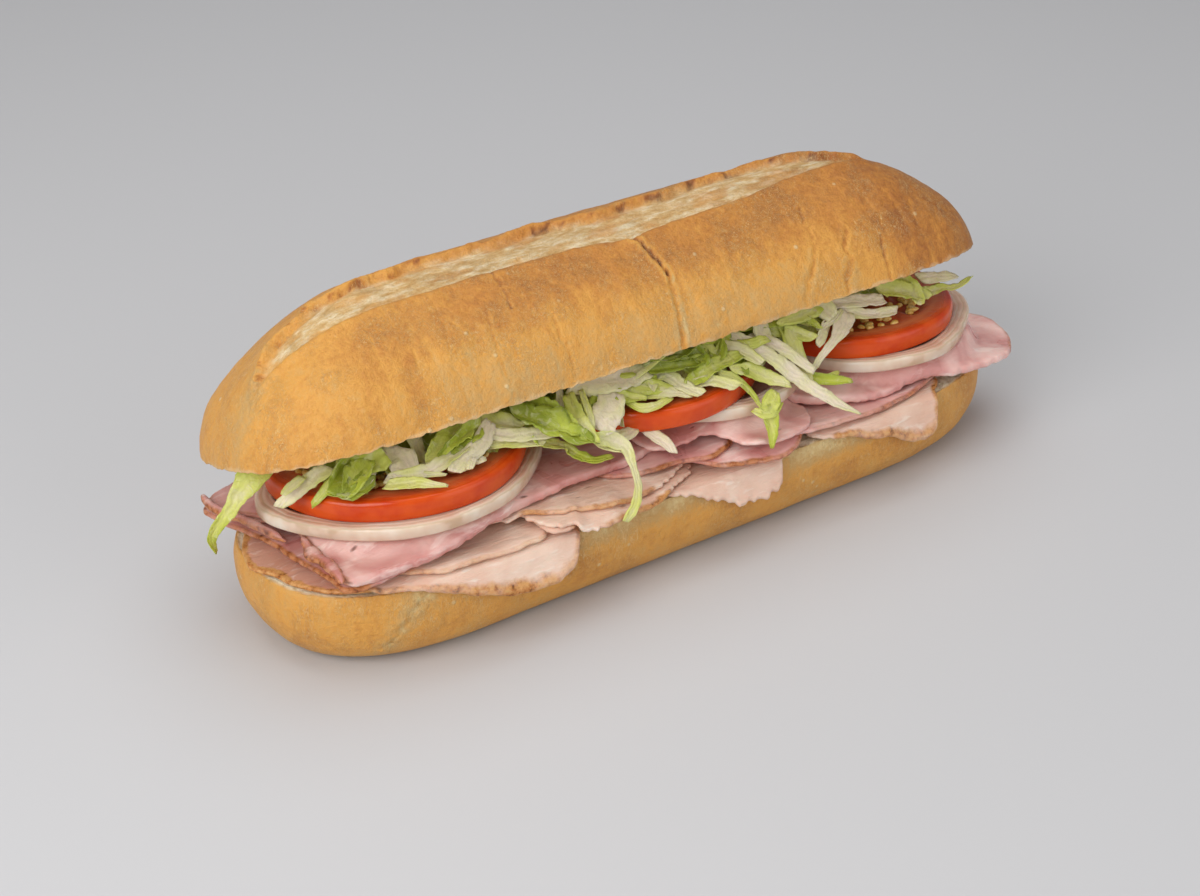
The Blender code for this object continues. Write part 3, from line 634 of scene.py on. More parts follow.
def meat_material(name, pale, deep, vein, flushed, rind_light, rind_mid, rind_dark,
                  rind_width, grain, wet):
    """Moist sliced meat: two tones in soft patches, fine fibres, and a roasted rind at the edge."""
    made, tree, shader = new_material(name)
    place, edge, rind, flush = readings(tree, "edge", "rind", "flush")
    patches = add(tree, "ShaderNodeTexNoise", {"Vector": place, "Scale": 75.0, "Detail": 3.0,
                                               "Distortion": 0.6})
    tones = add(tree, "ShaderNodeValToRGB", {"Fac": patches})
    fill_ramp(tones, (0.36, deep), (0.64, pale))
    turned = add(tree, "ShaderNodeMapping", {"Vector": place, "Rotation": (0.0, 0.3, 0.5),
                                             "Scale": (0.25, 1.0, 1.0)})
    fibres = add(tree, "ShaderNodeTexNoise", {"Vector": turned, "Scale": grain, "Detail": 4.0,
                                              "Roughness": 0.6, "Distortion": 0.4})
    veins = add(tree, "ShaderNodeMapRange", {"Value": fibres, "From Min": 0.56, "From Max": 0.68,
                                             "To Max": 0.6})
    warm = add(tree, "ShaderNodeMix", {"Factor": flush, "A": tones, "B": linear(flushed)},
               data_type="RGBA")
    meat = add(tree, "ShaderNodeMix", {"Factor": veins, "A": warm, "B": linear(vein)}, data_type="RGBA")
    # Short dark slits and pores, 2 to 3 mm long and few.
    slit_place = add(tree, "ShaderNodeMapping", {"Vector": place, "Rotation": (0.0, 0.0, 0.9),
                                                 "Scale": (0.35, 1.0, 0.5)})
    slits = add(tree, "ShaderNodeTexVoronoi", {"Vector": slit_place, "Scale": 210.0})
    slit = add(tree, "ShaderNodeMapRange", {"Value": slits, "From Min": 0.11, "From Max": 0.04})
    rare = add(tree, "ShaderNodeMapRange", {"Value": slits.outputs["Color"], "From Min": 0.50,
                                            "From Max": 0.54, "To Max": 0.75})
    marks = add(tree, "ShaderNodeMath", {0: slit, 1: rare}, operation="MULTIPLY")
    marked = add(tree, "ShaderNodeMix", {"Factor": marks, "A": meat, "B": linear(rind_dark)},
                 data_type="RGBA")
    # The rind: a roasted skin about 1.2 mm wide, with burnt specks and an uneven inner edge.
    stain = add(tree, "ShaderNodeTexNoise", {"Vector": place, "Scale": 330.0, "Detail": 3.0})
    width = add(tree, "ShaderNodeMath", {0: rind, 1: 2.0 * rind_width}, operation="MULTIPLY")
    reach = add(tree, "ShaderNodeMath", {0: stain, 1: width, 2: -0.30}, operation="MULTIPLY_ADD")
    depth = add(tree, "ShaderNodeMath", {0: reach, 1: edge}, operation="SUBTRACT")
    inside = add(tree, "ShaderNodeMapRange", {"Value": depth, "From Min": -0.40, "From Max": 0.55})
    rinded = add(tree, "ShaderNodeMath", {0: inside, 1: rind}, operation="MULTIPLY", use_clamp=True)
    burnt = add(tree, "ShaderNodeTexNoise", {"Vector": place, "Scale": 480.0, "Detail": 4.0,
                                             "Roughness": 0.65})
    roast = add(tree, "ShaderNodeValToRGB", {"Fac": burnt})
    fill_ramp(roast, (0.42, rind_light), (0.57, rind_mid), (0.68, rind_dark))
    final = add(tree, "ShaderNodeMix", {"Factor": rinded, "A": marked, "B": roast}, data_type="RGBA")
    relief = add(tree, "ShaderNodeMath", {0: fibres, 1: 0.0007}, operation="MULTIPLY")
    dented = add(tree, "ShaderNodeMath", {0: marks, 1: -0.0004, 2: relief}, operation="MULTIPLY_ADD")
    bump = add(tree, "ShaderNodeBump", {"Height": dented, "Strength": 0.85, "Distance": 1.0})
    moist = add(tree, "ShaderNodeMapRange", {"Value": patches, "From Min": 0.3, "From Max": 0.7,
                                             "To Min": wet, "To Max": wet + 0.2})
    feed(shader, {"Base Color": final, "Normal": bump, "Roughness": moist, "IOR": 1.40,
                  "Subsurface Weight": 0.25, "Subsurface Scale": 0.003,
                  "Subsurface Radius": (1.0, 0.45, 0.35)})
    return made


# Roast turkey breast: pale, close-grained and barely moist, with a tan roasted rind.
turkey = meat_material("sliced_roast_turkey", "#efd0bc", "#e2b9a2", "#f6e4d6", "#cf8f76",
                       "#d6a063", "#b97a3e", "#6d3f1c", 0.95, 430.0, 0.38)

TURKEY_DRAPE = {"turkey_low_left": 0.75, "turkey_low_right": 0.6, "turkey_far_right": 0.6,
                "turkey_mid_lower": 0.3}  # how steeply the slice hangs over the heel's edge
TURKEY_FLUSH = {"turkey_end_left": 0.75, "turkey_fold_left": 0.25}  # pinker than the rest
# Each slice: node, seed, thickness, leaves, rind, torn edge, curl, and its outline in plan.
for row in (
    ("turkey_end_left", 1, 1.2, 1, (-1.5, 4.6, 1.7), 0.2, 0.9, [
        (-116, 0), (-112.5, -8), (-109.5, -17.5), (-103, -25), (-93, -28.5), (-84, -22),
        (-80, 0), (-86, 18), (-100, 24), (-111, 13)]),
    ("turkey_low_left", 2, 1.3, 1, (0.4, 9.6, 1.0), 0.3, 0.3, [
        (-101, -10), (-98, -28.5), (-91, -33), (-84, -36), (-75, -38.3), (-67, -39.5),
        (-58, -40.3), (-50, -40.3), (-44, -39), (-40.5, -35.5), (-37, -26), (-36, 0), (-40, 24),
        (-58, 34), (-82, 33), (-97, 18)]),
    ("turkey_low_right", 3, 1.2, 1, (0, 1, 0.0), 0.55, 0.5, [
        (-13, -28), (-12, -34.5), (-7, -37), (0, -38.5), (6, -39.5), (13, -40),
        (19, -39.8), (23.5, -37.5), (26, -28), (24, -8), (8, 0), (-8, -6), (-13, -14)]),
    ("turkey_far_right", 4, 1.3, 1, (1.6, 10.4, 1.0), 0.3, 0.4, [
        (36, -27), (37, -34), (43, -36.8), (52, -38.3), (62, -39.4), (70, -40), (76.5, -39.3),
        (79, -36.5), (81, -33), (86, -28), (92, -12), (92, 10), (82, 28), (62, 33), (44, 26),
        (36, 6), (35, -12)]),
    ("turkey_up_left", 5, 1.3, 1, (0.6, 6.4, 0.65), 0.3, 0.8, [
        (-97, -18), (-91, -27), (-84, -32), (-76, -34.5), (-66, -35), (-57, -35.5),
        (-50, -34), (-42, -22), (-46, -8), (-62, -2), (-80, -4), (-92, -8)]),
    ("turkey_fold_left", 6, 1.3, 1, (2.4, 5.2, 1.0), 0.3, 0.6, [
        (-50, -31), (-49, -35.5), (-46.5, -37), (-43, -37), (-41.5, -34), (-40, -27),
        (-43, -20), (-48, -22)]),
    ("turkey_mid_lower", 7, 1.2, 1, (2.6, 5.8, 1.0), 0.9, 0.8, [
        (-52, -26), (-49, -34.5), (-42, -38.6), (-34, -39.5), (-24, -38.6), (-16, -37.3),
        (-9, -33.5), (0, -27), (4, -6), (-2, 18), (-14, 33), (-34, 34), (-48, 20), (-53, 0)]),
    ("turkey_mid_upper", 8, 1.3, 1, (1.4, 6.4, 0.9), 0.7, 0.8, [
        (-64, -22), (-58, -27), (-51, -28.5), (-45, -32), (-38, -35), (-29, -36.3),
        (-18, -35), (-11, -32.7), (-4, -28.5), (2, -20), (-2, -10), (-20, -4), (-44, -6),
        (-60, -12)]),
):
    points, faces, marks = lay_slice(*row, drape=TURKEY_DRAPE.get(row[0], 0.0))
    flush = np.full(len(points), TURKEY_FLUSH.get(row[0], 0.0))
    new_piece(row[0].replace("turkey", "turkey_slice"), points, faces, turkey, "turkey",
              [row[0]], flush=flush, **marks)

# The sliced ham: cured and smoked, pink and moist, with a thin brown rind. Two of the slices
# are folded double, with the fold to the front.

# The ring that rests on each of the three top slices.
RING_ON = {"ham_left_fold": "onion_ring_left", "ham_mid_top": "onion_ring_mid",
           "ham_right_fold": "onion_ring_right"}
HAM_FLUSH = {"ham_left_fold": 0.22, "ham_left_lower": 0.45}  # redder than the rest
# Cured cooked ham: mauve pink with paler muscle, wet enough to shine.
ham = meat_material("sliced_cured_ham", "#f8d0c6", "#d79790", "#fbe2d8", "#ad5f52", "#c08053",
                    "#9c5b2f", "#5d2e17", 0.85, 240.0, 0.24)

for row in (
    ("ham_mid_second", 9, 1.3, 1, (0.4, 6.6, 1.0), 0.3, 0.8, [
        (-2, -26), (2, -33.8), (9, -37.2), (17, -38.3), (25, -38.5), (30, -36.5), (35, -30),
        (35, -20), (28, -8), (12, -4), (0, -10)]),
    ("ham_mid_front", 10, 1.3, 1, (0.6, 7.6, 1.0), 0.2, 0.5, [
        (-34, -14), (-29, -21.5), (-22, -27), (-13, -29.5), (-4, -31), (2, -33), (8, -31.8),
        (14, -28.5), (19, -21), (16, -10), (2, -4), (-20, -4)]),
    ("ham_left_lower", 11, 1.3, 1, (-1.0, 8.2, 1.1), 0.2, 0.5, [
        (-114.5, 28), (-114, 20), (-112, 13), (-109.5, 5), (-108.5, -5), (-107, -14),
        (-105.5, -24), (-105, -30), (-98, -31.5), (-84, -29), (-72, -20), (-70, 0),
        (-72, 20), (-84, 30), (-100, 33)]),
    ("ham_left_fold", 12, 2.4, 2, (-0.6, 6.4, 1.0), 0.2, 0.7, [
        (-114.5, 26), (-111, 18), (-106, 9), (-104, -2), (-104.5, -11), (-105, -20),
        (-104, -29), (-98, -32), (-84, -32), (-68, -30.5), (-50, -27), (-30, -25.5),
        (-10, -23), (-4, -15), (-16, -6), (-40, -2), (-58, 8), (-68, 22), (-84, 29),
        (-102, 31)]),
    ("ham_right_lower", 13, 1.3, 1, (1.8, 8.0, 0.8), 0.2, 0.5, [
        (22, -27), (25, -34), (34, -36), (46, -35.8), (58, -35.3), (68, -34), (77, -31.5),
        (87, -26), (84, -10), (60, -4), (36, -6), (24, -14)]),
    ("ham_mid_top", 14, 1.4, 1, (0.6, 8.0, 0.35), 0.5, 1.2, [
        (-13, -20), (-9, -27.5), (-2, -27.5), (5, -27), (9.5, -30), (11.5, -34.5),
        (15, -37.3), (22, -38), (30, -37), (37, -31), (40, -16), (40, 6), (34, 24), (18, 31),
        (2, 30), (-8, 18), (-12, 0)]),
    ("ham_right_fold", 15, 2.4, 2, (6.0, 10.8, 0.9), 0.2, 0.4, [
        (34, -20), (42, -26), (56, -30.5), (72, -31), (88, -33.5), (102, -33.5),
        (112, -30), (119, -24), (123, -16), (122.5, -8), (117, -2), (109, 6), (104, 20),
        (88, 30), (66, 28), (50, 18), (40, 0)]),
):
    points, faces, marks = lay_slice(*row, bears=RING_ON.get(row[0]))
    flush = np.full(len(points), HAM_FLUSH.get(row[0], 0.0))
    new_piece(row[0].replace("ham", "ham_slice"), points, faces, ham, "ham", [row[0]],
              flush=flush, **marks)


def open_curve(points, spacing):
    """A smooth line through the points, at even spacing."""
    points = np.array(points, float)
    ends = np.concatenate([[2 * points[0] - points[1]], points, [2 * points[-1] - points[-2]]])
    t = np.linspace(0, 1, 12, endpoint=False)[:, None]
    spans = [curve_span(*near, t) for near in zip(ends, ends[1:], ends[2:], ends[3:])]
    curve = np.concatenate([*spans, points[-1:]])
    run = run_along(curve)
    at_run = np.linspace(0, run[-1], max(6, int(run[-1] / spacing)))
    return np.stack([np.interp(at_run, run, column) for column in curve.T], 1)


# Two lips of the left ham, rolled over at the slice's edge with the rind outwards: one at its
# front corner and one down its left side.
for name, wide, high, path in (
    ("ham_lip_front", 3.6, 2.4, ((-105, -9), (-105.2, -15), (-104.4, -20), (-104.8, -26),
                                 (-105.6, -30.6))),
    ("ham_lip_left", 2.6, 2.6, ((-115, 27), (-115, 20), (-112.2, 13), (-109, 4), (-107, -4))),
):
    line = open_curve([(x, y, 0) for x, y in path], 0.7)
    line[:, 2] = np.clip(at(pile, line[:, 0] + 1.6, line[:, 1]), 29.4, 33.0) + 0.1
    share = np.linspace(0, 1, len(line))
    along = np.gradient(line, axis=0)
    out = np.column_stack([along[:, 1], -along[:, 0], np.zeros(len(line))])
    out /= np.linalg.norm(out, axis=1)[:, None]
    turn = np.linspace(0, 2 * np.pi, 16, endpoint=False)
    base = np.column_stack([share * 40, np.zeros((len(line), 2))])
    girth = np.sqrt(np.clip(1 - (2 * share - 1) ** 4, 0.02, 1)) * (1 + 0.3 * lumps(base, 5, wide))
    rings = [spot + away * (wide / 2 * size * np.cos(turn))[:, None]
             + np.array((0, 0, 1)) * (high / 2 * size * np.sin(turn))[:, None]
             for spot, away, size in zip(line, out, girth)]
    points, faces = loft(rings)
    points += normals_of(points, faces) * (0.22 * lumps(points, 2.4, wide, 3))[:, None]
    outer = np.tile(np.abs(np.cos(turn)), len(line))
    new_piece(name, points, faces, ham, "ham", [], flush=np.full(len(points), 0.45),
              edge=1.3 * (1 - outer), rind=np.full(len(points), 1.0))

# The onion rings: three rings of raw white onion, each one layer of the bulb cut about 4 mm
# thick. The flesh is crisp and slightly clear, with fine lines that follow the ring.

ONION_HEIGHT, ONION_WALL = 4.0, 5.2


def tube(path, section):
    """A closed ring of equal cross-sections: path and section counts give its faces."""
    count = len(section[0])
    faces = []
    for k in range(path):
        low, high = k * count, (k + 1) % path * count
        for j in range(count):
            n = (j + 1) % count
            faces.append((low + j, low + n, high + n, high + j))
    return np.concatenate(section), faces


# Raw onion: cream white, slightly clear, with a wet gloss on the cut.
onion, tree, shader = new_material("raw_white_onion")
place, across = readings(tree, "across")
cloud = add(tree, "ShaderNodeTexNoise", {"Vector": place, "Scale": 95.0, "Detail": 3.0})
flesh = add(tree, "ShaderNodeValToRGB", {"Fac": cloud})
fill_ramp(flesh, (0.34, "#d6b49e"), (0.50, "#dfc8b2"), (0.66, "#eadccb"))
# Fine lines that follow the ring, nearly 2 mm apart and a little wavy.
warped = add(tree, "ShaderNodeMath", {0: cloud, 1: 0.9, 2: across}, operation="MULTIPLY_ADD")
lines = add(tree, "ShaderNodeMath", {0: warped, 1: 11.0}, operation="MULTIPLY")
waves = add(tree, "ShaderNodeMath", {0: lines}, operation="SINE")
fine = add(tree, "ShaderNodeMapRange", {"Value": waves, "From Min": 0.35, "From Max": 1.0,
                                        "To Max": 0.42})
lined = add(tree, "ShaderNodeMix", {"Factor": fine, "A": flesh, "B": linear("#b9a27a")}, data_type="RGBA")
ridge = add(tree, "ShaderNodeMath", {0: waves, 1: 0.00006}, operation="MULTIPLY")
bump = add(tree, "ShaderNodeBump", {"Height": ridge, "Strength": 0.7, "Distance": 1.0})
feed(shader, {"Base Color": lined, "Normal": bump, "Roughness": 0.22, "IOR": 1.40,
              "Subsurface Weight": 0.5, "Subsurface Scale": 0.005, "Subsurface Radius": (1.0, 0.7, 0.55)})

for side, seed, points in (
    ("left", 1, [(-109, 6), (-107, -6), (-99, -18.5), (-87, -28), (-72, -31.7), (-57, -28.5),
                 (-44, -20), (-34.5, -9), (-31.5, 5), (-38, 19), (-54, 29), (-72, 31),
                 (-92, 26), (-104, 17)]),
    ("mid", 2, [(-8, 0), (-3, -16), (6, -26), (18, -31), (29, -29.8), (39, -24), (45, -16),
                (46, -4), (44, 10), (36, 21), (22, 27), (6, 26), (-5, 15)]),
    ("right", 3, [(50.5, 0), (51.5, -13), (57, -24), (66, -30.3), (77, -33), (88, -31),
                  (98, -25), (107, -17.5), (113, -7), (114, 4), (109, 16), (97, 25),
                  (80, 28), (63, 23), (53.5, 12)]),
):
    node = "onion_ring_" + side
    bed = bed_of(node, RING_INSET)
    outer, = even_spacing(smooth_closed(points, 8), 1.4)
    flat = np.column_stack([outer, np.full(len(outer), seed * 9.1)])
    wall = ONION_WALL * (1 + 0.13 * lumps(flat, 17, 0.4, 2))
    dip = 0.35 * lumps(flat, 22, 3.3, 2) - 0.2
    lean = 0.5 * lumps(flat, 30, 8.8, 2)
    out = outward(outer)
    middle = outer - out * (ONION_WALL / 2)
    section = []
    angle = np.linspace(0, 2 * np.pi, 18, endpoint=False)
    share = np.sign(np.cos(angle)) * np.abs(np.cos(angle)) ** 0.42
    level = np.sign(np.sin(angle)) * np.abs(np.sin(angle)) ** 0.42
    for centre, away, width, drop, tilt in zip(middle, out, wall, dip, lean):
        spot = centre + away * (share * width / 2)[:, None]
        height = ONION_HEIGHT * (0.5 + 0.5 * level * 0.96) + drop + tilt * share * 0.4
        section.append(np.column_stack([spot, bed - BED_FALL * spot[:, 1] + height]))
    points, faces = tube(len(section), section)
    new_piece(node + "_cut", points, faces, onion, "onion", [node],
              across=np.tile(share, len(section)))

# The tomato slices: three slices of ripe tomato, cut across, about 5 mm thick. Each one has its
# glossy skin round the side, a firm wall, and soft chambers of gel with seeds.

TOMATO_HEIGHT = 5.9
TOMATO_SAG = 0.6  # how far the soft slice settles on its ring

# Ripe tomato: glossy orange-red skin over paler flesh, and darker wet gel in the chambers.
tomato, tree, shader = new_material("ripe_tomato")
place, skin, gel, wall = readings(tree, "skin", "gel", "wall")
cloud = add(tree, "ShaderNodeTexNoise", {"Vector": place, "Scale": 120.0, "Detail": 4.0})
ripe = add(tree, "ShaderNodeValToRGB", {"Fac": cloud})
fill_ramp(ripe, (0.35, "#c93a08"), (0.6, "#da5212"))
pulp = add(tree, "ShaderNodeValToRGB", {"Fac": cloud})
fill_ramp(pulp, (0.35, "#c54a22"), (0.65, "#dc6e3c"))
pale_wall = add(tree, "ShaderNodeMix", {"Factor": wall, "A": pulp, "B": linear("#dd8450")},
                data_type="RGBA")
wet_gel = add(tree, "ShaderNodeMix", {"Factor": gel, "A": pale_wall, "B": linear("#a8330f")},
              data_type="RGBA")
whole = add(tree, "ShaderNodeMix", {"Factor": skin, "A": wet_gel, "B": ripe}, data_type="RGBA")
cells = add(tree, "ShaderNodeTexNoise", {"Vector": place, "Scale": 650.0, "Detail": 2.0})
matt = add(tree, "ShaderNodeMapRange", {"Value": skin, "To Min": 0.00025, "To Max": 0.00002})
grain = add(tree, "ShaderNodeMath", {0: cells, 1: matt}, operation="MULTIPLY")
bump = add(tree, "ShaderNodeBump", {"Height": grain, "Strength": 0.7, "Distance": 1.0})
gloss = add(tree, "ShaderNodeMapRange", {"Value": skin, "To Min": 0.30, "To Max": 0.20})
feed(shader, {"Base Color": whole, "Normal": bump, "Roughness": gloss, "IOR": 1.42,
              "Subsurface Weight": 0.2, "Subsurface Scale": 0.004,
              "Subsurface Radius": (1.0, 0.35, 0.15)})

# Tomato seed: straw yellow in a thin wet jacket.
seed_coat, tree, shader = new_material("tomato_seed")
place, = readings(tree)
fuzz = add(tree, "ShaderNodeTexNoise", {"Vector": place, "Scale": 900.0})
straw = add(tree, "ShaderNodeValToRGB", {"Fac": fuzz})
fill_ramp(straw, (0.4, "#dca548"), (0.6, "#f0cd7c"))
feed(shader, {"Base Color": straw, "Roughness": 0.2})

# One seed, a flattened drop 3 mm long, lying on its side.
seed_rings = []
for along in np.linspace(-1, 1, 7):
    size = np.sqrt(max(1 - along**2, 0.0)) * (1 - 0.35 * along) + 0.02
    turn = np.linspace(0, 2 * np.pi, 8, endpoint=False)
    seed_rings.append(np.column_stack([np.full(8, 1.3 * along), 0.95 * size * np.cos(turn),
                                       0.3 + 0.6 * size * np.sin(turn)]))
points, faces = loft(seed_rings)
seed_mesh = new_mesh("one_seed", points * MM, faces)
seed_mesh.shade_smooth()
one_seed = bpy.data.objects.new("one_seed", seed_mesh)


def scatter_tree(name, kinds, material):
    """A node tree that lays copies of small shapes on a mesh, where its shown attribute is set."""
    made = bpy.data.node_groups.new(name, "GeometryNodeTree")
    sockets = {}
    made.interface.new_socket("Geometry", in_out="INPUT", socket_type="NodeSocketGeometry")
    for label, kind in (("Density", "Float"), ("Seed", "Int"), ("Turn", "Vector"),
                        ("Smallest", "Float"), ("Largest", "Float")):
        sockets[label] = made.interface.new_socket(
            label, in_out="INPUT", socket_type="NodeSocket" + kind).identifier
    made.interface.new_socket("Geometry", in_out="OUTPUT", socket_type="NodeSocketGeometry")
    given = made.nodes.new("NodeGroupInput").outputs
    shown = add(made, "GeometryNodeInputNamedAttribute", {"Name": "shown"}, data_type="FLOAT")
    thick = add(made, "ShaderNodeMath", {0: given["Density"], 1: shown}, operation="MULTIPLY")
    spots = add(made, "GeometryNodeDistributePointsOnFaces",
                {"Mesh": given["Geometry"], "Density": thick, "Seed": given["Seed"]},
                distribute_method="RANDOM")
    shapes = add(made, "GeometryNodeJoinGeometry")
    for kind in kinds:
        source = add(made, "GeometryNodeObjectInfo", {"Object": kind, "As Instance": True})
        feed(shapes, {"Geometry": source.outputs["Geometry"]})
    size = add(made, "FunctionNodeRandomValue", {"Min": given["Smallest"], "Max": given["Largest"],
                                                 "Seed": given["Seed"]}, data_type="FLOAT")
    laid = add(made, "GeometryNodeInstanceOnPoints",
               {"Points": spots, "Instance": shapes, "Pick Instance": True,
                "Rotation": spots.outputs["Rotation"], "Scale": size})
    minus = add(made, "ShaderNodeVectorMath", {0: given["Turn"], 1: (-1.0, -1.0, -1.0)},
                operation="MULTIPLY")
    spin = add(made, "FunctionNodeRandomValue", {0: minus, 1: given["Turn"]}, data_type="FLOAT_VECTOR")
    turned = add(made, "GeometryNodeRotateInstances",
                 {"Instances": laid, "Rotation": spin, "Local Space": True})
    real = add(made, "GeometryNodeRealizeInstances", {"Geometry": turned})
    faced = add(made, "GeometryNodeSetMaterial", {"Geometry": real, "Material": material})
    add(made, "NodeGroupOutput", {"Geometry": faced})
    return made, sockets


def scattered(name, host, tree, sockets, **values):
    """The scattered copies as a plain mesh of their own; the host stays as it was."""
    spread = host.modifiers.new("scatter", "NODES")
    spread.node_group = tree
    for label, value in values.items():
        spread[sockets[label]] = value
    graph = bpy.context.evaluated_depsgraph_get()
    mesh = bpy.data.meshes.new_from_object(host.evaluated_get(graph))
    host.modifiers.remove(spread)
    mesh.name = name
    return new_object(name, mesh)


seed_tree, seed_sockets = scatter_tree("sown_seeds", [one_seed], seed_coat)
# Each slice: side, seed, centre, half length, reach to the front and back, chambers, and the
# direction of one chamber's middle.
for side, order, centre, half_length, front, rear, chambers, opening in (
    ("left", 1, (-70, 7), 35, 35.5, 23, 6, -128),
    ("mid", 2, (3.5, 4.5), 34, 34.5, 25, 5, -60),
    ("right", 3, (76.5, 3.5), 30, 32.5, 26, 6, -113),
):
    node = "tomato_slice_" + side
    bed = bed_of(node, 1.0) - TOMATO_SAG
    turn = np.linspace(0, 2 * np.pi, 200, endpoint=False)
    reach = np.where(np.sin(turn) > 0, rear, front)
    wobble = 1 + 0.012 * np.sin(3 * turn + order) + 0.008 * np.sin(5 * turn + 2 * order)
    rings, parts = [], []
    profile = [(inset, 0.0, 0) for inset in np.linspace(21, 0.5, 12)]
    profile += [((0.5 if level < 0.5 else 1.5) * (1 - (1 - abs(2 * level - 1) ** 2.6) ** 0.5),
                 level, 1) for level in np.linspace(0.02, 0.98, 14)]
    profile += [(inset, 1.0, 2) for inset in (1.5, 1.65, *np.linspace(2.0, 21, 40))]
    for inset, level, part in profile:
        ring = np.column_stack([
            centre[0] + (half_length - inset) * wobble * np.cos(turn),
            centre[1] + (reach - inset) * wobble * np.sin(turn)])
        rings.append(np.column_stack([ring, bed - BED_FALL * ring[:, 1]
                                      + TOMATO_HEIGHT * level]))
        parts.append(np.column_stack([np.full(200, float(part)), np.full(200, inset), turn]))
    points, faces = loft(rings)
    part, inset, angle = np.concatenate(parts).T
    sector = np.abs(np.cos(chambers / 2 * (angle - np.radians(opening))))
    flat = np.column_stack([points[:, :2], np.full(len(points), order * 5.0)])
    unevenness = lumps(flat, 6, 2.1, 2)
    gel_share = ((part != 1) * smooth_step(6.5, 8.5, inset + 1.2 * unevenness)
                 * smooth_step(19.5, 17.0, inset + 1.2 * unevenness)
                 * smooth_step(0.34, 0.55, sector + 0.1 * unevenness))
    wall_share = (part != 1) * np.exp(-((inset - 5.2 + 0.5 * unevenness) / 0.9) ** 2) * 0.6
    top = part == 2
    points[:, 2] += top * (-0.55 * gel_share + 0.12 * lumps(flat, 2.2, 7.7, 2) * gel_share
                           + 0.05 * lumps(flat, 1.6, 3.7, 2)) - 0.15 * top * smooth_step(
                               2.4, 1.5, inset)
    slice_piece = new_piece(node + "_cut", points, faces, tomato, "tomato", [node],
                            skin=np.maximum(part == 1, top * smooth_step(3.4, 1.4, inset)),
                            gel=gel_share, wall=wall_share, shown=gel_share * top)
    seeds = scattered("tomato_seeds_" + side, slice_piece, seed_tree, seed_sockets, Density=110000.0,
                      Seed=order, Turn=(0.2, 0.2, 3.14), Smallest=0.95, Largest=1.25)
    fix(seeds, [])

# The shredded lettuce: iceberg cut into strips a few millimetres wide and heaped on the tomato.
# Strips near the heart are pale and ribbed, those from the outer leaves thin, crinkled and green.

# Iceberg leaf: crisp and half clear, from milky ribs to yellow-green, with a waxy gloss.
leaf, tree, shader = new_material("iceberg_leaf")
place, green, across = readings(tree, "green", "across")
cloud = add(tree, "ShaderNodeTexNoise", {"Vector": place, "Scale": 160.0, "Detail": 4.0})
shift = add(tree, "ShaderNodeMath", {0: cloud, 1: 0.5, 2: -0.25}, operation="MULTIPLY_ADD")
tone = add(tree, "ShaderNodeMath", {0: shift, 1: green}, operation="ADD")
colours = add(tree, "ShaderNodeValToRGB", {"Fac": tone})
fill_ramp(colours, (0.0, "#ebdcc0"), (0.25, "#e2dca6"), (0.5, "#d6d878"), (0.75, "#b9c447"),
          (1.0, "#8d9a32"))
veins = add(tree, "ShaderNodeTexNoise", {"Vector": place, "Scale": 420.0, "Detail": 3.0,
                                         "Distortion": 1.2})
vein = add(tree, "ShaderNodeMapRange", {"Value": veins, "From Min": 0.55, "From Max": 0.68,
                                        "To Max": 0.4})
veined = add(tree, "ShaderNodeMix", {"Factor": vein, "A": colours, "B": linear("#e4e2b4")},
             data_type="RGBA")
# Fine pale and dark lines along the strip, where the veins run.
strands = add(tree, "ShaderNodeMath", {0: cloud, 1: 2.2, 2: across}, operation="MULTIPLY_ADD")
phase = add(tree, "ShaderNodeMath", {0: strands, 1: 10.0}, operation="MULTIPLY")
rows = add(tree, "ShaderNodeMath", {0: phase}, operation="SINE")
shaded_line = add(tree, "ShaderNodeMapRange", {"Value": rows, "From Min": 0.2, "From Max": 1.0,
                                               "To Max": 0.13})
lined = add(tree, "ShaderNodeMix", {"Factor": shaded_line, "A": veined, "B": linear("#8f8c4c")},
            data_type="RGBA")
ribs = add(tree, "ShaderNodeMath", {0: rows, 1: -0.00005}, operation="MULTIPLY")
crinkle = add(tree, "ShaderNodeMath", {0: veins, 1: 0.0006, 2: ribs}, operation="MULTIPLY_ADD")
bump = add(tree, "ShaderNodeBump", {"Height": crinkle, "Strength": 0.7, "Distance": 1.0})
feed(shader, {"Base Color": lined, "Normal": bump, "Roughness": 0.34, "IOR": 1.40,
              "Subsurface Weight": 0.25, "Subsurface Scale": 0.002, "Subsurface Radius": (0.8, 1.0, 0.3)})

HEAP_FACE = np.array((-0.28, -0.56, 0.78))  # the way that the heap's front slope looks


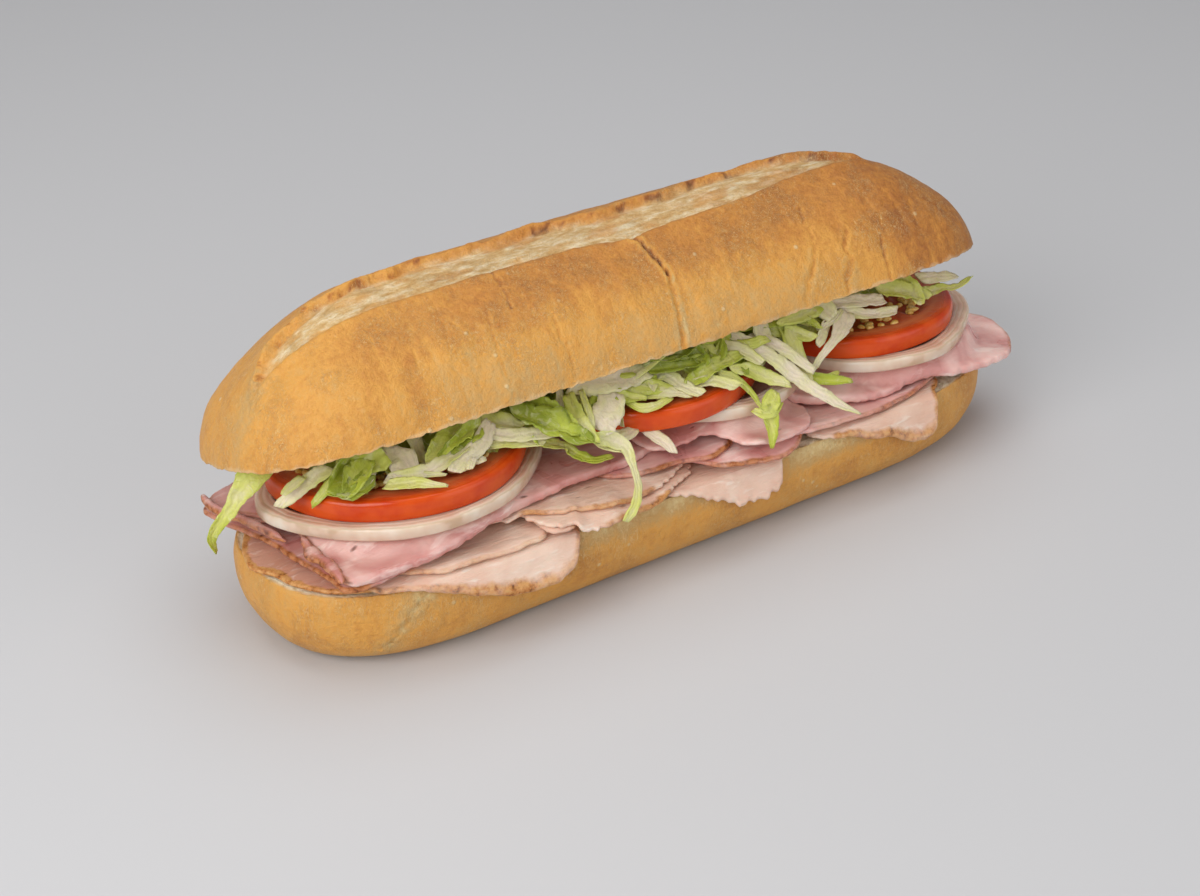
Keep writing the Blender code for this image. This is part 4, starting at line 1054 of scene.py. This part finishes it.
def shred(path, width, tone, fold, lean, twist, seed, facing=HEAP_FACE, spacing=0.85, columns=9):
    """A strip of leaf along a path.

    It lies with its face to facing, leant over by lean degrees and turning by twist along its
    length, with its sides bent up by fold. width runs from its first end to its last.
    """
    line = open_curve(path, spacing)
    count = len(line)
    share = np.linspace(0, 1, count)
    along = np.gradient(line, axis=0)
    along /= np.linalg.norm(along, axis=1)[:, None]
    side = np.cross(along, facing)
    for k in range(1, count):
        if side[k] @ side[k - 1] < 0:
            side[k] = -side[k]
    side /= np.maximum(np.linalg.norm(side, axis=1), 1e-6)[:, None]
    up = np.cross(side, along)
    angle = np.radians(lean + twist * (share - 0.3))[:, None]
    side, up = side * np.cos(angle) + up * np.sin(angle), up * np.cos(angle) - side * np.sin(angle)
    length = np.linalg.norm(np.diff(line, axis=0), axis=1).sum()
    across = np.linspace(-1, 1, columns)
    from_end = np.minimum(share, 1 - share) * length
    taper = 0.72 + 0.28 * smooth_step(-0.3, 1.6, from_end)
    wide = np.interp(share, np.linspace(0, 1, len(width)), width)
    base = np.column_stack([share * length, np.zeros(count), np.full(count, seed * 3.17)])
    edges = [wide / 2 * taper * (1 + 0.20 * lumps(base, 6.5, shift, 2)
                                 + 0.13 * lumps(base, 1.8, shift + 3, 2)
                                 + 0.10 * lumps(base, 0.8, shift + 6, 2)) for shift in (0.3, 8.3)]
    spread = np.where(across < 0, edges[0][:, None], edges[1][:, None]) * across
    flat = np.stack([np.repeat(share * length, columns), np.outer(wide / 2, across).ravel(),
                     np.full(count * columns, seed * 1.7)], 1)
    ruffle = lumps(flat * [1, 0.6, 1], 3.4, 4.4, 3).reshape(count, columns) * (0.2 + across**2)
    pleat = lumps(flat * [0.25, 1, 1], 2.0, 2.4, 2).reshape(count, columns)
    crinkle = lumps(flat, 1.5, 6.1, 2).reshape(count, columns)
    lift = (fold * np.abs(spread) + (1.15 * ruffle + 0.8 * pleat + 0.22 * crinkle)
            * np.minimum(1.4, wide / 5)[:, None] * (0.3 + 0.7 * min(1.0, tone + 0.3)))
    sheet = line[:, None] + side[:, None] * spread[..., None] + up[:, None] * lift[..., None]
    # Its two ends are cut aslant.
    slant = (np.sin(12.9 * seed) * smooth_step(4.0, 0.0, share * length)
             + np.cos(7.3 * seed) * smooth_step(4.0, 0.0, (1 - share) * length))
    sheet += along[:, None] * (0.8 * slant[:, None] * spread)[..., None]
    thick = 0.28 + 0.8 * (1 - across**2) * max(0.0, 0.35 - tone)
    half = up[:, None] * (thick / 2)[None, :, None]
    points = np.concatenate([(sheet - half).reshape(-1, 3), (sheet + half).reshape(-1, 3)])
    total = count * columns
    spots = np.arange(total).reshape(count, columns)
    low = np.stack([spots[:-1, :-1], spots[:-1, 1:], spots[1:, 1:], spots[1:, :-1]], -1)
    faces = low.reshape(-1, 4).tolist() + (low[..., ::-1] + total).reshape(-1, 4).tolist()
    for row, turned in ((spots[:, 0], False), (spots[:, -1], True), (spots[0], True),
                        (spots[-1], False)):
        for a, b in zip(row[:-1].tolist(), row[1:].tolist()):
            face = (a, b, b + total, a + total)
            faces.append(face[::-1] if turned else face)
    shade = (tone - 0.05 + 0.16 * np.abs(across)[None, :] + 0.16 * pleat
             + 0.20 * lumps(base, 9, 7.2, 2)[:, None])
    return points, faces, {"green": np.tile(shade.reshape(-1), 2),
                           "across": np.tile(across, 2 * count)}


def gather(shreds):
    """Several shreds as one mesh."""
    points, faces, start = [], [], 0
    for spots, quads, _ in shreds:
        points.append(spots)
        faces += [tuple(v + start for v in quad) for quad in quads]
        start += len(spots)
    marks = {label: np.concatenate([values[label] for _, _, values in shreds])
             for label in ("green", "across")}
    return np.concatenate(points), faces, marks


# The strips that show at the front, each one listed: tone from milky 0 to green 1, widths along
# it, fold, lean, twist, and its path from under the crown to its tip.
FRONT_SHREDS = (
    (0.55, (7, 6, 4, 3, 2.4, 1.6), 0.3, 10, 40, ((-108, 3, 48.5), (-112, 2, 46.5), (-115, 3, 43),
     (-118, 4, 38), (-121, 6, 33), (-122, 7, 29), (-121, 7, 25.5))),
    (0.22, (4.5, 3.8, 3), 0.2, 5, 10, ((-96, -9, 50), (-101, -7, 46.5), (-106, -7, 44),
     (-109, -6, 41.5))),
    (0.30, (2.5, 2.8, 1.5), 0.2, 0, 10, ((-102, -6, 47.8), (-106, -7, 46.6), (-108.5, -8, 46))),
    (0.80, (7, 8, 4), 0.7, 15, 30, ((-83, -14, 51.5), (-89, -12, 50.5), (-94, -12, 49.3),
     (-100, -15, 47.6))),
    (0.75, (5, 7, 4.5), 0.6, -15, 40, ((-87, -13, 50.5), (-92, -15, 48.6), (-97, -17, 47))),
    (0.90, (3, 4, 3), 0.4, 20, -50, ((-100, -15, 47.4), (-95, -18, 46.8), (-88, -17, 47.4))),
    (0.02, (2.5, 3, 2.5), 0.3, 0, 20, ((-87, -15, 49), (-92, -17, 47))),
    (0.08, (6.5, 7.5, 7), 0.1, 5, 10, ((-79, -11, 51), (-79, -16, 48.6), (-81, -20, 46.8))),
    (0.22, (3, 3.4, 4), 0.3, 0, 40, ((-85, -17, 47.2), (-79, -20, 47.6), (-73, -21, 48), (-68, -20, 48.8),
     (-64, -19, 49.6))),
    (0.38, (3.2, 3.2, 0.9), 0.3, 5, 20, ((-86, -19, 46.8), (-80, -23, 47), (-74, -28, 46.6))),
    (0.30, (2, 2.4, 0.8), 0.3, 0, 20, ((-84, -17, 47.4), (-77, -21, 47.2), (-72, -24, 47))),
    (0.62, (9, 7, 2.5), 0.5, -10, 30, ((-58, -15, 52), (-65, -15, 50.5), (-74, -17, 48.4))),
    (0.78, (6, 5, 2), 0.6, 15, 30, ((-57, -16, 52), (-64, -17, 50.5), (-71, -18, 49))),
    (0.04, (4.5, 4.4, 4), 0.15, 5, 10, ((-54, -16, 52), (-60, -20, 49.6), (-66, -22, 47.8),
     (-70, -24, 47))),
    (0.05, (2.5, 2.6, 2), 0.1, 0, 10, ((-61, -20, 48.8), (-66, -25, 46.9))),
    (0.10, (1.5, 3, 1.6), 0.2, 0, 10, ((-65, -21, 47.6), (-60, -23, 46.8))),
    (0.32, (1.8, 4.2, 1.8), 0.25, 0, 15, ((-60, -18, 47.6), (-52, -21, 48), (-44, -25, 46.8))),
    (0.50, (5, 6, 3), 0.4, 10, 30, ((-63, -11, 51.5), (-54, -14, 50.8), (-47, -19, 49.6))),
    (0.14, (3.5, 3.6, 2.6), 0.2, 5, 10, ((-57, -17, 50.2), (-51, -21, 49.4), (-46, -23, 49),
     (-39, -25, 48.6))),
    (0.88, (5, 8, 4), 0.5, 15, 20, ((-48, -16, 52.8), (-42, -22, 50.6), (-38, -28, 48.3),
     (-33, -31, 46.5))),
    (0.80, (6, 7, 4), 0.6, -20, 30, ((-43, -14, 53.4), (-39, -21, 51), (-35, -27, 48.4))),
    (0.60, (2.2, 3, 3, 1.6), 0.4, 5, 30, ((-47, -24, 48.5), (-41, -23, 44.5), (-36, -22, 41.4),
     (-34, -25, 39.6), (-31, -28, 38.6), (-26, -29, 38.8))),
    (0.55, (3.5, 4.6, 3), 0.4, 0, 20, ((-31, -16, 52.4), (-33, -23, 50), (-33, -28, 48),
     (-33, -31, 46.4))),
    (0.40, (1.5, 2, 2), 0.3, 0, 30, ((-27, -16, 52.4), (-29, -22, 50.5), (-31, -27, 48.4))),
    (0.03, (6.5, 8.5, 5.5), 0.05, 0, 8, ((-19, -20, 50.8), (-24, -24, 48.8), (-29, -28, 46.6))),
    (0.35, (3.5, 4.6, 3.2, 1.9, 2.2, 2.8, 2.4), 0.3, 0, 50, ((-32, -29, 46.6), (-27, -30, 44.2),
     (-24, -32, 42), (-24, -34.5, 39), (-24, -37, 35), (-25, -38.5, 31.5), (-27, -39.5, 28.5),
     (-30, -40.5, 26.5))),
    (0.30, (3, 3.4, 2), 0.3, 10, 30, ((-33, -28, 47), (-29, -30, 43.5), (-26, -32, 41.8))),
    (0.08, (6, 8, 6), 0.15, -5, 15, ((-29, -14, 53.6), (-19, -17, 52.8), (-7, -17, 52.6))),
    (0.25, (3, 4.4, 4, 3.2), 0.3, 5, 20, ((-8, -15, 52.4), (-3, -19, 50.6), (-1, -24, 49),
     (2, -29, 47.6))),
    (0.20, (4, 4, 2.4), 0.2, 0, 10, ((-1, -19, 51), (-6, -19, 50.4), (-9, -22, 49.2))),
    (0.62, (2.4, 3.4, 1.6), 0.4, 5, 20, ((-21, -17, 51.5), (-18, -21, 50), (-12, -24, 48.4))),
    (0.28, (3, 3.6, 2.6), 0.2, 5, 20, ((-12, -21, 48.2), (-6, -23.5, 48.4), (0, -27, 47.7))),
    (0.50, (2, 2.6, 2), 0.3, 0, 30, ((-17, -21, 48.6), (-15, -25, 47.4), (-11, -26.5, 47.4),
     (-6, -26, 47.8))),
    (0.85, (5, 6, 4), 0.8, 25, 20, ((-10, -14, 54.4), (-1, -17, 53.8), (8, -17, 53.4), (12, -14, 54.4))),
    (0.95, (4, 5, 4), 0.9, -20, 25, ((-6, -14, 55), (3, -15, 54.4), (8, -18, 52.6), (8, -22, 51))),
    (0.88, (3.5, 5, 3.5), 0.7, 10, 10, ((-8, -18, 52.8), (1, -20, 52), (9, -21, 51.4))),
    (0.92, (3, 4, 3), 0.8, 0, 10, ((-5, -16, 53.8), (4, -18, 53), (10, -19, 52.6))),
    (0.62, (4, 4.8, 3.6), 0.35, 5, 15, ((1, -25, 48.8), (7, -23, 49.8), (14, -22, 50.4),
     (20, -22, 50.4))),
    (0.80, (5, 6, 3), 0.5, -15, 30, ((14, -13, 54), (15, -18, 51.6), (12, -22, 50.2))),
    (0.42, (2.6, 4.6, 4.2, 2), 0.15, 0, 10, ((15, -24, 48.8), (21, -25, 46.8), (25, -27, 44.6),
     (30, -31, 42.2))),
    (0.15, (3.5, 4.6, 3), 0.2, 0, 15, ((14, -16, 52.6), (21, -21, 50.6), (24, -26, 48.4))),
    (0.30, (2.6, 3.4, 3), 0.25, 0, 10, ((2, -24.5, 48.4), (8, -26, 48.2), (13, -30, 46.8))),
    (0.55, (2.4, 2, 1.8), 0.4, 10, 50, ((11, -24, 48.8), (16, -25.5, 45.8), (18, -29, 42.8),
     (18, -33, 40.8), (19, -35, 39.4))),
    (0.60, (3.2, 4.6, 4.2, 3, 1.2), 0.35, 0, 20, ((25, -31, 42), (20, -34.5, 39.6), (19, -37.5, 35),
     (18, -39, 30.8))),
    (0.65, (2, 4, 1.2), 0.3, 0, 10, ((16, -33, 40.4), (19, -35.5, 39.2), (25, -33.5, 39.8))),
    (0.08, (2.6, 4.2, 4.4, 3.6, 0.7), 0.05, 0, 6, ((20, -14, 54.4), (26, -22, 50.4), (32, -28, 44.4),
     (38, -34, 38.8), (43, -37.5, 34.8), (47.5, -40, 32))),
    (0.05, (3, 3.4, 2.6), 0.1, 0, 10, ((28, -17, 52.4), (34, -25, 48), (39, -30, 43))),
    (0.75, (5, 6, 4.5, 1.5), 0.5, 10, 20, ((26, -13, 53.6), (36, -15, 52.6), (44, -16, 51.4),
     (48, -21, 49))),
    (0.55, (4, 5, 3), 0.4, -10, 20, ((34, -16, 51.4), (40, -19, 49.4), (44, -23, 48))),
    (0.15, (5, 6, 5), 0.2, 0, 10, ((46, -14, 52.6), (52, -15, 52), (54, -19, 50))),
    (0.10, (1.4, 1.6, 1.2), 0.3, 0, 20, ((59, -17, 50), (54, -19, 48.8), (48, -19.5, 48.2))),
    (0.02, (6.5, 5.5, 2.4, 2, 1.8), 0.15, 5, 10, ((60, -17, 49), (54, -22, 47), (48, -24.5, 45),
     (44, -25.5, 42.6), (41.5, -26, 40.4))),
    (0.03, (4, 4.6, 4), 0.2, 10, 15, ((55, -13, 51.4), (64, -16, 50.4), (73, -18, 49.4))),
    (0.06, (3, 3.4, 3), 0.2, 0, 10, ((59, -16, 49), (67, -20, 47.4), (75, -21.5, 46.8))),
    (0.50, (6, 6.5, 4), 0.5, 10, 20, ((74, -13, 50.6), (81, -17, 49), (87, -21, 46.6))),
    (0.45, (5, 5, 3.5), 0.4, -15, 20, ((82, -13, 50.8), (84, -18, 48.6), (83, -22, 46.4))),
    (0.60, (3, 3.2, 2.6, 1.6), 0.3, 10, 60, ((84, -18, 47.2), (94, -18, 46.6), (100, -19, 45.8),
     (106, -18, 46.8))),
    (0.00, (3.4, 3.6, 2.6), 0.2, 0, 10, ((89, -14, 49.4), (96, -16, 48.8), (101, -16.5, 48.2))),
    (0.70, (3, 3.6, 1.4), 0.5, 0, 10, ((38, -28, 40.6), (44, -31, 39), (50, -33, 38))),
    (0.65, (1.5, 2, 0.8), 0.3, 0, 10, ((42, -30, 39.4), (46, -29.5, 39.4), (49, -28.5, 39))),
    (0.00, (3, 3.4, 2.4), 0.2, 5, 20, ((-13, -24, 40), (-10.5, -29, 38.2), (-10, -33, 36.2))),
    (0.02, (3.4, 3.6, 3), 0.2, 5, 20, ((-25, -24, 40.8), (-20, -25, 40.6), (-15, -24, 40.6))),
)
front = [shred(path, width, tone, fold, lean, twist, 5 + k)
         for k, (tone, width, fold, lean, twist, path) in enumerate(FRONT_SHREDS)]

# The crown rests on the heap: its cut face, tilted up at the front, is the heap's ceiling.
CROWN_TURN = Euler(np.radians((-20.2, -0.5, -1.7)), "XYZ").to_matrix()
CROWN_CENTRE = (-3.7, 5.3, 49.5)

UNDER_CROWN = 3.0  # how far the heap's own surface stays below the crown
CORE_INSET = 4.0  # how far the core lies inside the slopes' outline
# The rest of the heap: the slopes that the strips lie on, with a smaller solid core inside.
HEAP = smooth_closed([
    (-100, 6), (-98, -9), (-88, -13), (-74, -13), (-62, -14), (-50, -16), (-38, -19),
    (-24, -21), (-8, -22), (8, -22), (22, -22), (34, -22), (48, -20), (62, -16), (76, -14),
    (90, -10), (100, 3), (96, 14), (76, 20), (50, 23), (20, 23), (-10, 23), (-40, 22),
    (-66, 23), (-88, 18)], 6)
ring, = even_spacing(HEAP, 1.8)
verts, faces = fill_outline(ring, (ring.min(0), ring.max(0)), 2.6, 0.0, 1.2)
far, _ = nearest(verts, ring)
crown_normal = np.array(CROWN_TURN)[:, 2]
ceiling = CROWN_CENTRE[2] - ((verts - CROWN_CENTRE[:2]) @ crown_normal[:2]) / crown_normal[2]
floor = 42.0 - BED_FALL * verts[:, 1]
bulk = np.column_stack([verts, np.zeros(len(verts))])
top = np.minimum(floor + 0.8 + 1.0 * far + 1.0 * lumps(bulk, 11, 1.9), ceiling - UNDER_CROWN)
top = np.maximum(top, floor + 0.2)
shown = smooth_step(ceiling - UNDER_CROWN, ceiling - 4.6, top) * smooth_step(2.0, 6.0, far)
shown *= 1 - 0.7 * smooth_step(46, 58, verts[:, 0])
slope = new_object("heap_slope", new_mesh(
    "heap_slope", in_place(np.column_stack([verts, top])), faces, shown=shown))

kinds = []
chance = np.random.default_rng(11)
for k, tone in enumerate((0.1, 0.3, 0.55, 0.75, 0.9, 0.2, 0.6, 0.05, 0.4, 0.8)):
    length, bow = chance.uniform(17, 30), chance.uniform(-6, 6)
    rise = chance.uniform(0.4, 2.2, 2)
    path = [(-length / 2, -bow / 2, 1.0), (-length / 6, bow / 2, rise[0]),
            (length / 6, bow / 2, rise[1]), (length / 2, -bow / 2, 1.4)]
    middle = chance.uniform(2.8, 4.8)
    points, quads, marks = shred(path, (2.4, middle, middle, 1.6), tone, chance.uniform(0, 0.6),
                                 chance.uniform(-25, 25), chance.uniform(-60, 60), 90 + k,
                                 facing=(0, 0, 1), spacing=1.7, columns=6)
    mesh = new_mesh("strip", points * MM, quads, **marks)
    mesh.shade_smooth()
    kinds.append(bpy.data.objects.new("strip", mesh))
strip_tree, strip_sockets = scatter_tree("heaped_strips", kinds, leaf)
strips = scattered("lettuce_strips", slope, strip_tree, strip_sockets, Density=36000.0, Seed=4, Turn=(0.2,
                                                                                                      0.2,
                                                                                                      3.14),
                   Smallest=0.85, Largest=1.2)
fix(strips, [])
bpy.data.objects.remove(slope)

# The core, 2 mm below the slopes, all in the darkest green: painted shade where it shows between the
# strips.
inner = [face for face in faces if far[face].min() > CORE_INSET]
used = sorted({v for face in inner for v in face})
number = {v: k for k, v in enumerate(used)}
inner = [tuple(number[v] for v in face) for face in inner]
count = len(used)
points = np.concatenate([np.column_stack([verts, floor])[used],
                         np.column_stack([verts, np.maximum(top - 2.0, floor + 0.5)])[used]])
quads = [face[::-1] for face in inner] + [tuple(v + count for v in face) for face in inner]
quads += [(a, b, b + count, a + count) for a, b in border_of(inner)]
new_piece("lettuce_heap", points, quads, leaf, "lettuce", ["shredded_lettuce"],
          green=np.full(2 * count, 1.0))
points, faces, marks = gather(front)
new_piece("lettuce_front_strips", points, faces, leaf, "lettuce", [], **marks)
# Strips that stick out at the back, under the crown and over the rings.
back_strips = []
for k, x in enumerate(np.arange(-84, 90, 5.2)):
    reach, drop, drift, wide, tone = chance.uniform((0, 0, -9, 2.8, 0.0), (6, 4, 9, 5.2, 0.95))
    path = ((x, 13, 43.2), (x + 0.4 * drift, 22, 41.0), (x + drift, 30, 38.9),
            (x + 1.2 * drift, 34 + 0.5 * reach, 37.0 - 0.3 * drop),
            (x + 1.3 * drift, 35 + reach, 35.0 - drop))
    back_strips.append(shred(path, (wide, wide, wide, 1.8), tone, chance.uniform(0.1, 0.6),
                             chance.uniform(-25, 25), chance.uniform(-50, 50), 200 + k,
                             facing=(0.0, 0.5, 0.85)))
points, faces, marks = gather(back_strips)
new_piece("lettuce_back_strips", points, faces, leaf, "lettuce", [], **marks)

# The crown of the roll: the domed upper half, held up at the front by the filling. The baker's
# cut along it opened in the oven into a pale torn band, with a broken brown ear behind it.

CROWN = {"length": 228.5, "width": 67.7, "reach": 50.0, "power": 3.0}
CROWN_HEIGHT = 35.6
CROWN_DOME = 1.77  # how full the dome is: 2 is an ellipse, less is more peaked
# The torn band's front and back edges: places along the crown, and how far back each edge lies.
BAND_FRONT = ((-104, -96, -87, -60, -30, -10, 3, 11, 36, 57, 73, 87),
              (-12.6, -14.2, -16, -16, -16, -16.8, -18.4, -17.2, -16.4, -14, -13.5, -12))
BAND_BACK = ((-104, -94, -85, -77, -62, -47, -20, -8, 0, 8, 18, 36, 47, 59, 70, 80, 87),
             (-11.0, -5.0, -4.0, -4.0, -3.0, -2.8, -3.3, -4.2, -6.0, -5, -4, -1.8, -1.6, -3.0,
              -5.6, -9.6, -11.8))
# Cracks and creases across the front, in the crown's own plan: points, half width, depth, and
# how much painted shadow darkens the crack.
CRACKS = (
    (((1.5, -17.5), (4, -20), (4.5, -23), (6, -27)), 0.55, 1.15, 0.55),
    (((6, -27), (5.2, -30), (4, -32.3), (2.5, -34)), 0.45, 1.10, 0.22),
    (((-38, -16.2), (-38, -21), (-39, -25)), 0.32, 0.5, 0.25),
    (((-46, -24.5), (-47, -28.5), (-48, -31), (-47.5, -33.8)), 0.34, 0.45, 0.12),
    (((-30.5, -27), (-30, -31), (-29, -33.6)), 0.30, 0.4, 0.12),
    (((53, -22.5), (51, -26), (51, -29.5), (48, -31.8), (42, -33.8)), 0.32, 0.5, 0.15),
    (((62, -29), (59, -31), (60, -32.2), (56, -33.6)), 0.40, 0.45, 0.2),
    (((71.5, -31), (70, -33.8)), 0.4, 0.35, 0.25),
    (((27.5, -24), (26, -27), (25, -30)), 0.8, 0.22, 0.0),
)

plan = loaf_plan(CROWN, 0.68)
rings, under = [], []
for inset in np.concatenate([np.arange(32.2, 12, -2.2), np.arange(12, 0.4, -1.3)]):
    share = 1 - inset / (CROWN["width"] / 2)
    ring = loaf_ring(plan, CROWN["reach"] * share, CROWN["width"] / 2 * share)
    rings.append(np.column_stack([ring, np.zeros(len(ring))]))
    under.append(np.full(len(ring), inset))
turn = np.linspace(0, np.pi / 2, 4001)
level = np.cos(turn) ** (2 / CROWN_DOME)
rise = np.sin(turn) ** (2 / CROWN_DOME)
run = np.concatenate([[0], np.cumsum(np.hypot(np.diff(level * CROWN["width"] / 2),
                                              np.diff(rise * CROWN_HEIGHT)))])
steps = np.concatenate([[0, 0.25, 0.6], np.arange(1.2, run[-1] - 1.0, 0.56)])
for share, dome in zip(np.interp(steps, run, level), np.interp(steps, run, rise)):
    ring = loaf_ring(plan, CROWN["reach"] * share, CROWN["width"] / 2 * share)
    rings.append(np.column_stack([ring, np.full(len(ring), dome * CROWN_HEIGHT)]))
    under.append(np.zeros(len(ring)))
points, faces = loft(rings)
under = np.concatenate(under)
x, y, z = points.T
on_crust = under == 0
normals = normals_of(points, faces)
ragged_front = 0.25 * lumps(points * [1, 0, 0], 5, 3.3)
ragged_back = (0.9 * lumps(points * [1, 0.25, 0], 3.4, 7.7)
               + 0.5 * lumps(points * [1, 0, 0], 11, 2.2))
front_gap = y - np.interp(x, *BAND_FRONT) + ragged_front
back_gap = np.interp(x, *BAND_BACK) + ragged_back - y
within = (x > -104) & (x < 87)
open_share = smooth_step(0, 2.5, np.interp(x, *BAND_BACK) - np.interp(x, *BAND_FRONT)) * within
band = smooth_step(-0.1, 0.7, front_gap) * smooth_step(-0.2, 0.9, back_gap) * open_share
fibres = lumps(points * [0.22, 1, 1], 1.6, 9.1, 3)
flakes = lumps(points * [0.4, 1, 0.6], 4.0, 5.5, 3)
sunk = -1.5 * band + (0.14 * fibres + 0.35 * flakes) * band
lip = 0.55 * np.exp(-((front_gap + 0.9) / 1.1) ** 2) * open_share
ear = (0.8 + 0.7 * flakes) * np.exp(-((back_gap + 0.9) / 1.3) ** 2) * open_share
spots = smooth_step(0.06, 0.34, lumps(points * [0.3, 1, 1], 2.0, 31.3, 3))
pit = -0.5 * np.exp(-((back_gap - 0.6) / 0.9) ** 2) * open_share * spots
cracked, raised_lip_and_highlight = np.zeros(len(points)), np.zeros(len(points))
crack_shadow = np.zeros(len(points))
front_side = y < -5
for path, half_width, depth, tone in CRACKS:
    wander = 0.6 * lumps(points, 2.0, half_width * 31, 3)
    distance = near_path(x + wander, y, path)
    valley = np.exp(-((distance / half_width) ** 2)) * front_side
    valley *= 0.7 + 0.5 * lumps(points, 3.0, half_width * 17, 2)
    cracked += depth * valley
    # Painted shadow darkens the crust along the crack's valley.
    crack_shadow += tone * valley
    # The crack's lips stand up beside it, and the crust there is painted paler as a painted highlight.
    raised_lip_and_highlight += 0.55 * depth * front_side * np.exp(
        -(((distance - 2.2 * half_width) / half_width) ** 2))
# Hair cracks between them, from the lower edge part of the way up, 3 to 8 mm apart.
draw = np.random.default_rng(14)
wander = 0.8 * lumps(points, 2.4, 41.3, 3)
hair = np.zeros(len(points))
for start in np.arange(-94, 96, 4.3):
    foot, top, lean, waist = draw.uniform((-33.9, -31.8, -2.2, -0.8), (-32.4, -20, 2.2, 0.8))
    path = ((start + lean, top), (start + waist, (foot + top) / 2), (start, foot))
    strength = draw.uniform(0.2, 1.0)
    hair = np.maximum(hair, strength * np.exp(-((near_path(x + wander, y, path) / 0.38) ** 2)))
hair *= front_side * (0.6 + 0.8 * lumps(points, 2.6, 17.7, 2))
creases = lumps(points * [1, 0.2, 0.2], 7.5, 14.2, 2)
crease_zone = smooth_step(29, 12, z) * smooth_step(105, 80, np.abs(x))
pleats = lumps(points * [1, 0.22, 0.22], 3.0, 24.2, 2)
swell = (0.75 * lumps(points, 38, 6.1) + 0.24 * lumps(points, 11, 2.4) + 0.10 * lumps(points, 4, 9.9)
         + (0.32 * creases + 0.13 * pleats) * crease_zone)
swell = (swell * (1 - 0.6 * band) + sunk + lip + ear + pit - cracked + 0.35 * raised_lip_and_highlight
         - 0.22 * hair) * on_crust
swell *= smooth_step(-0.4, 1.6, z) * 0.85 + 0.15
points = points + normals * swell[:, None]
points[:, 2] += on_crust * smooth_step(2.0, 0.0, z) * (0.40 * lumps(points, 3.6, 4.1)
                                                       + 0.35 * lumps(points, 1.7, 2.9))
points[:, 2] += (~on_crust) * 0.5 * np.clip(lumps(points, 2.6, 8.2), -0.2, 1.0)
points[:, 2] *= 1 - 0.07 * smooth_step(-55, -100, x) * smooth_step(-8, 12, y)
low_middle = smooth_step(24, 3, z) * smooth_step(92, 50, np.abs(x - 8))
high_front = smooth_step(12, 25, z) * smooth_step(-100, -75, x) * smooth_step(70, 40, x)
bake = (0.42 + 0.10 * smooth_step(-80, -20, x) + 0.18 * smooth_step(35, 85, x)
        - 0.22 * low_middle + 0.09 * high_front
        # Darker in the valleys of the creases and pleats: painted shade.
        + 0.05 * lumps(points, 20, 8.8) + crease_zone * (0.12 * smooth_step(0.15, 0.9, -creases)
                                                         - 0.08 * pleats)
        + crack_shadow - 0.35 * raised_lip_and_highlight)
bake -= 0.13 * hair
bake += open_share * (0.40 * spots * smooth_step(80, 66, x)
                      * np.exp(-((back_gap - 0.1) / 0.9) ** 2)
                      - 0.10 * np.exp(-((back_gap + 2.0) / 2.4) ** 2))
bake -= 0.22 * np.exp(-((x + 107) / 7) ** 2 - ((y + 12) / 4.5) ** 2)
score = band * smooth_step(-0.4, 2.4, back_gap - 1.6 * np.clip(flakes, -0.7, 1))
score *= 1 - 0.5 * smooth_step(0.05, 0.45, lumps(points * [0.4, 1, 1], 4.5, 12.6, 3))
crown_crumb = smooth_step(0.3, 1.3, under + 0.4 * lumps(points, 3, 4.4)) * (~on_crust)
crown_crumb += 0.25 * on_crust * smooth_step(0.7, 0.1, z + 1.1 * lumps(points, 3.4, 51.3, 2))
points = points @ np.array(CROWN_TURN).T + CROWN_CENTRE
new_piece("crown_of_roll", points, faces, crust, "crust", ["roll_crown"],
          bake=bake, crumb=crown_crumb, score=score)
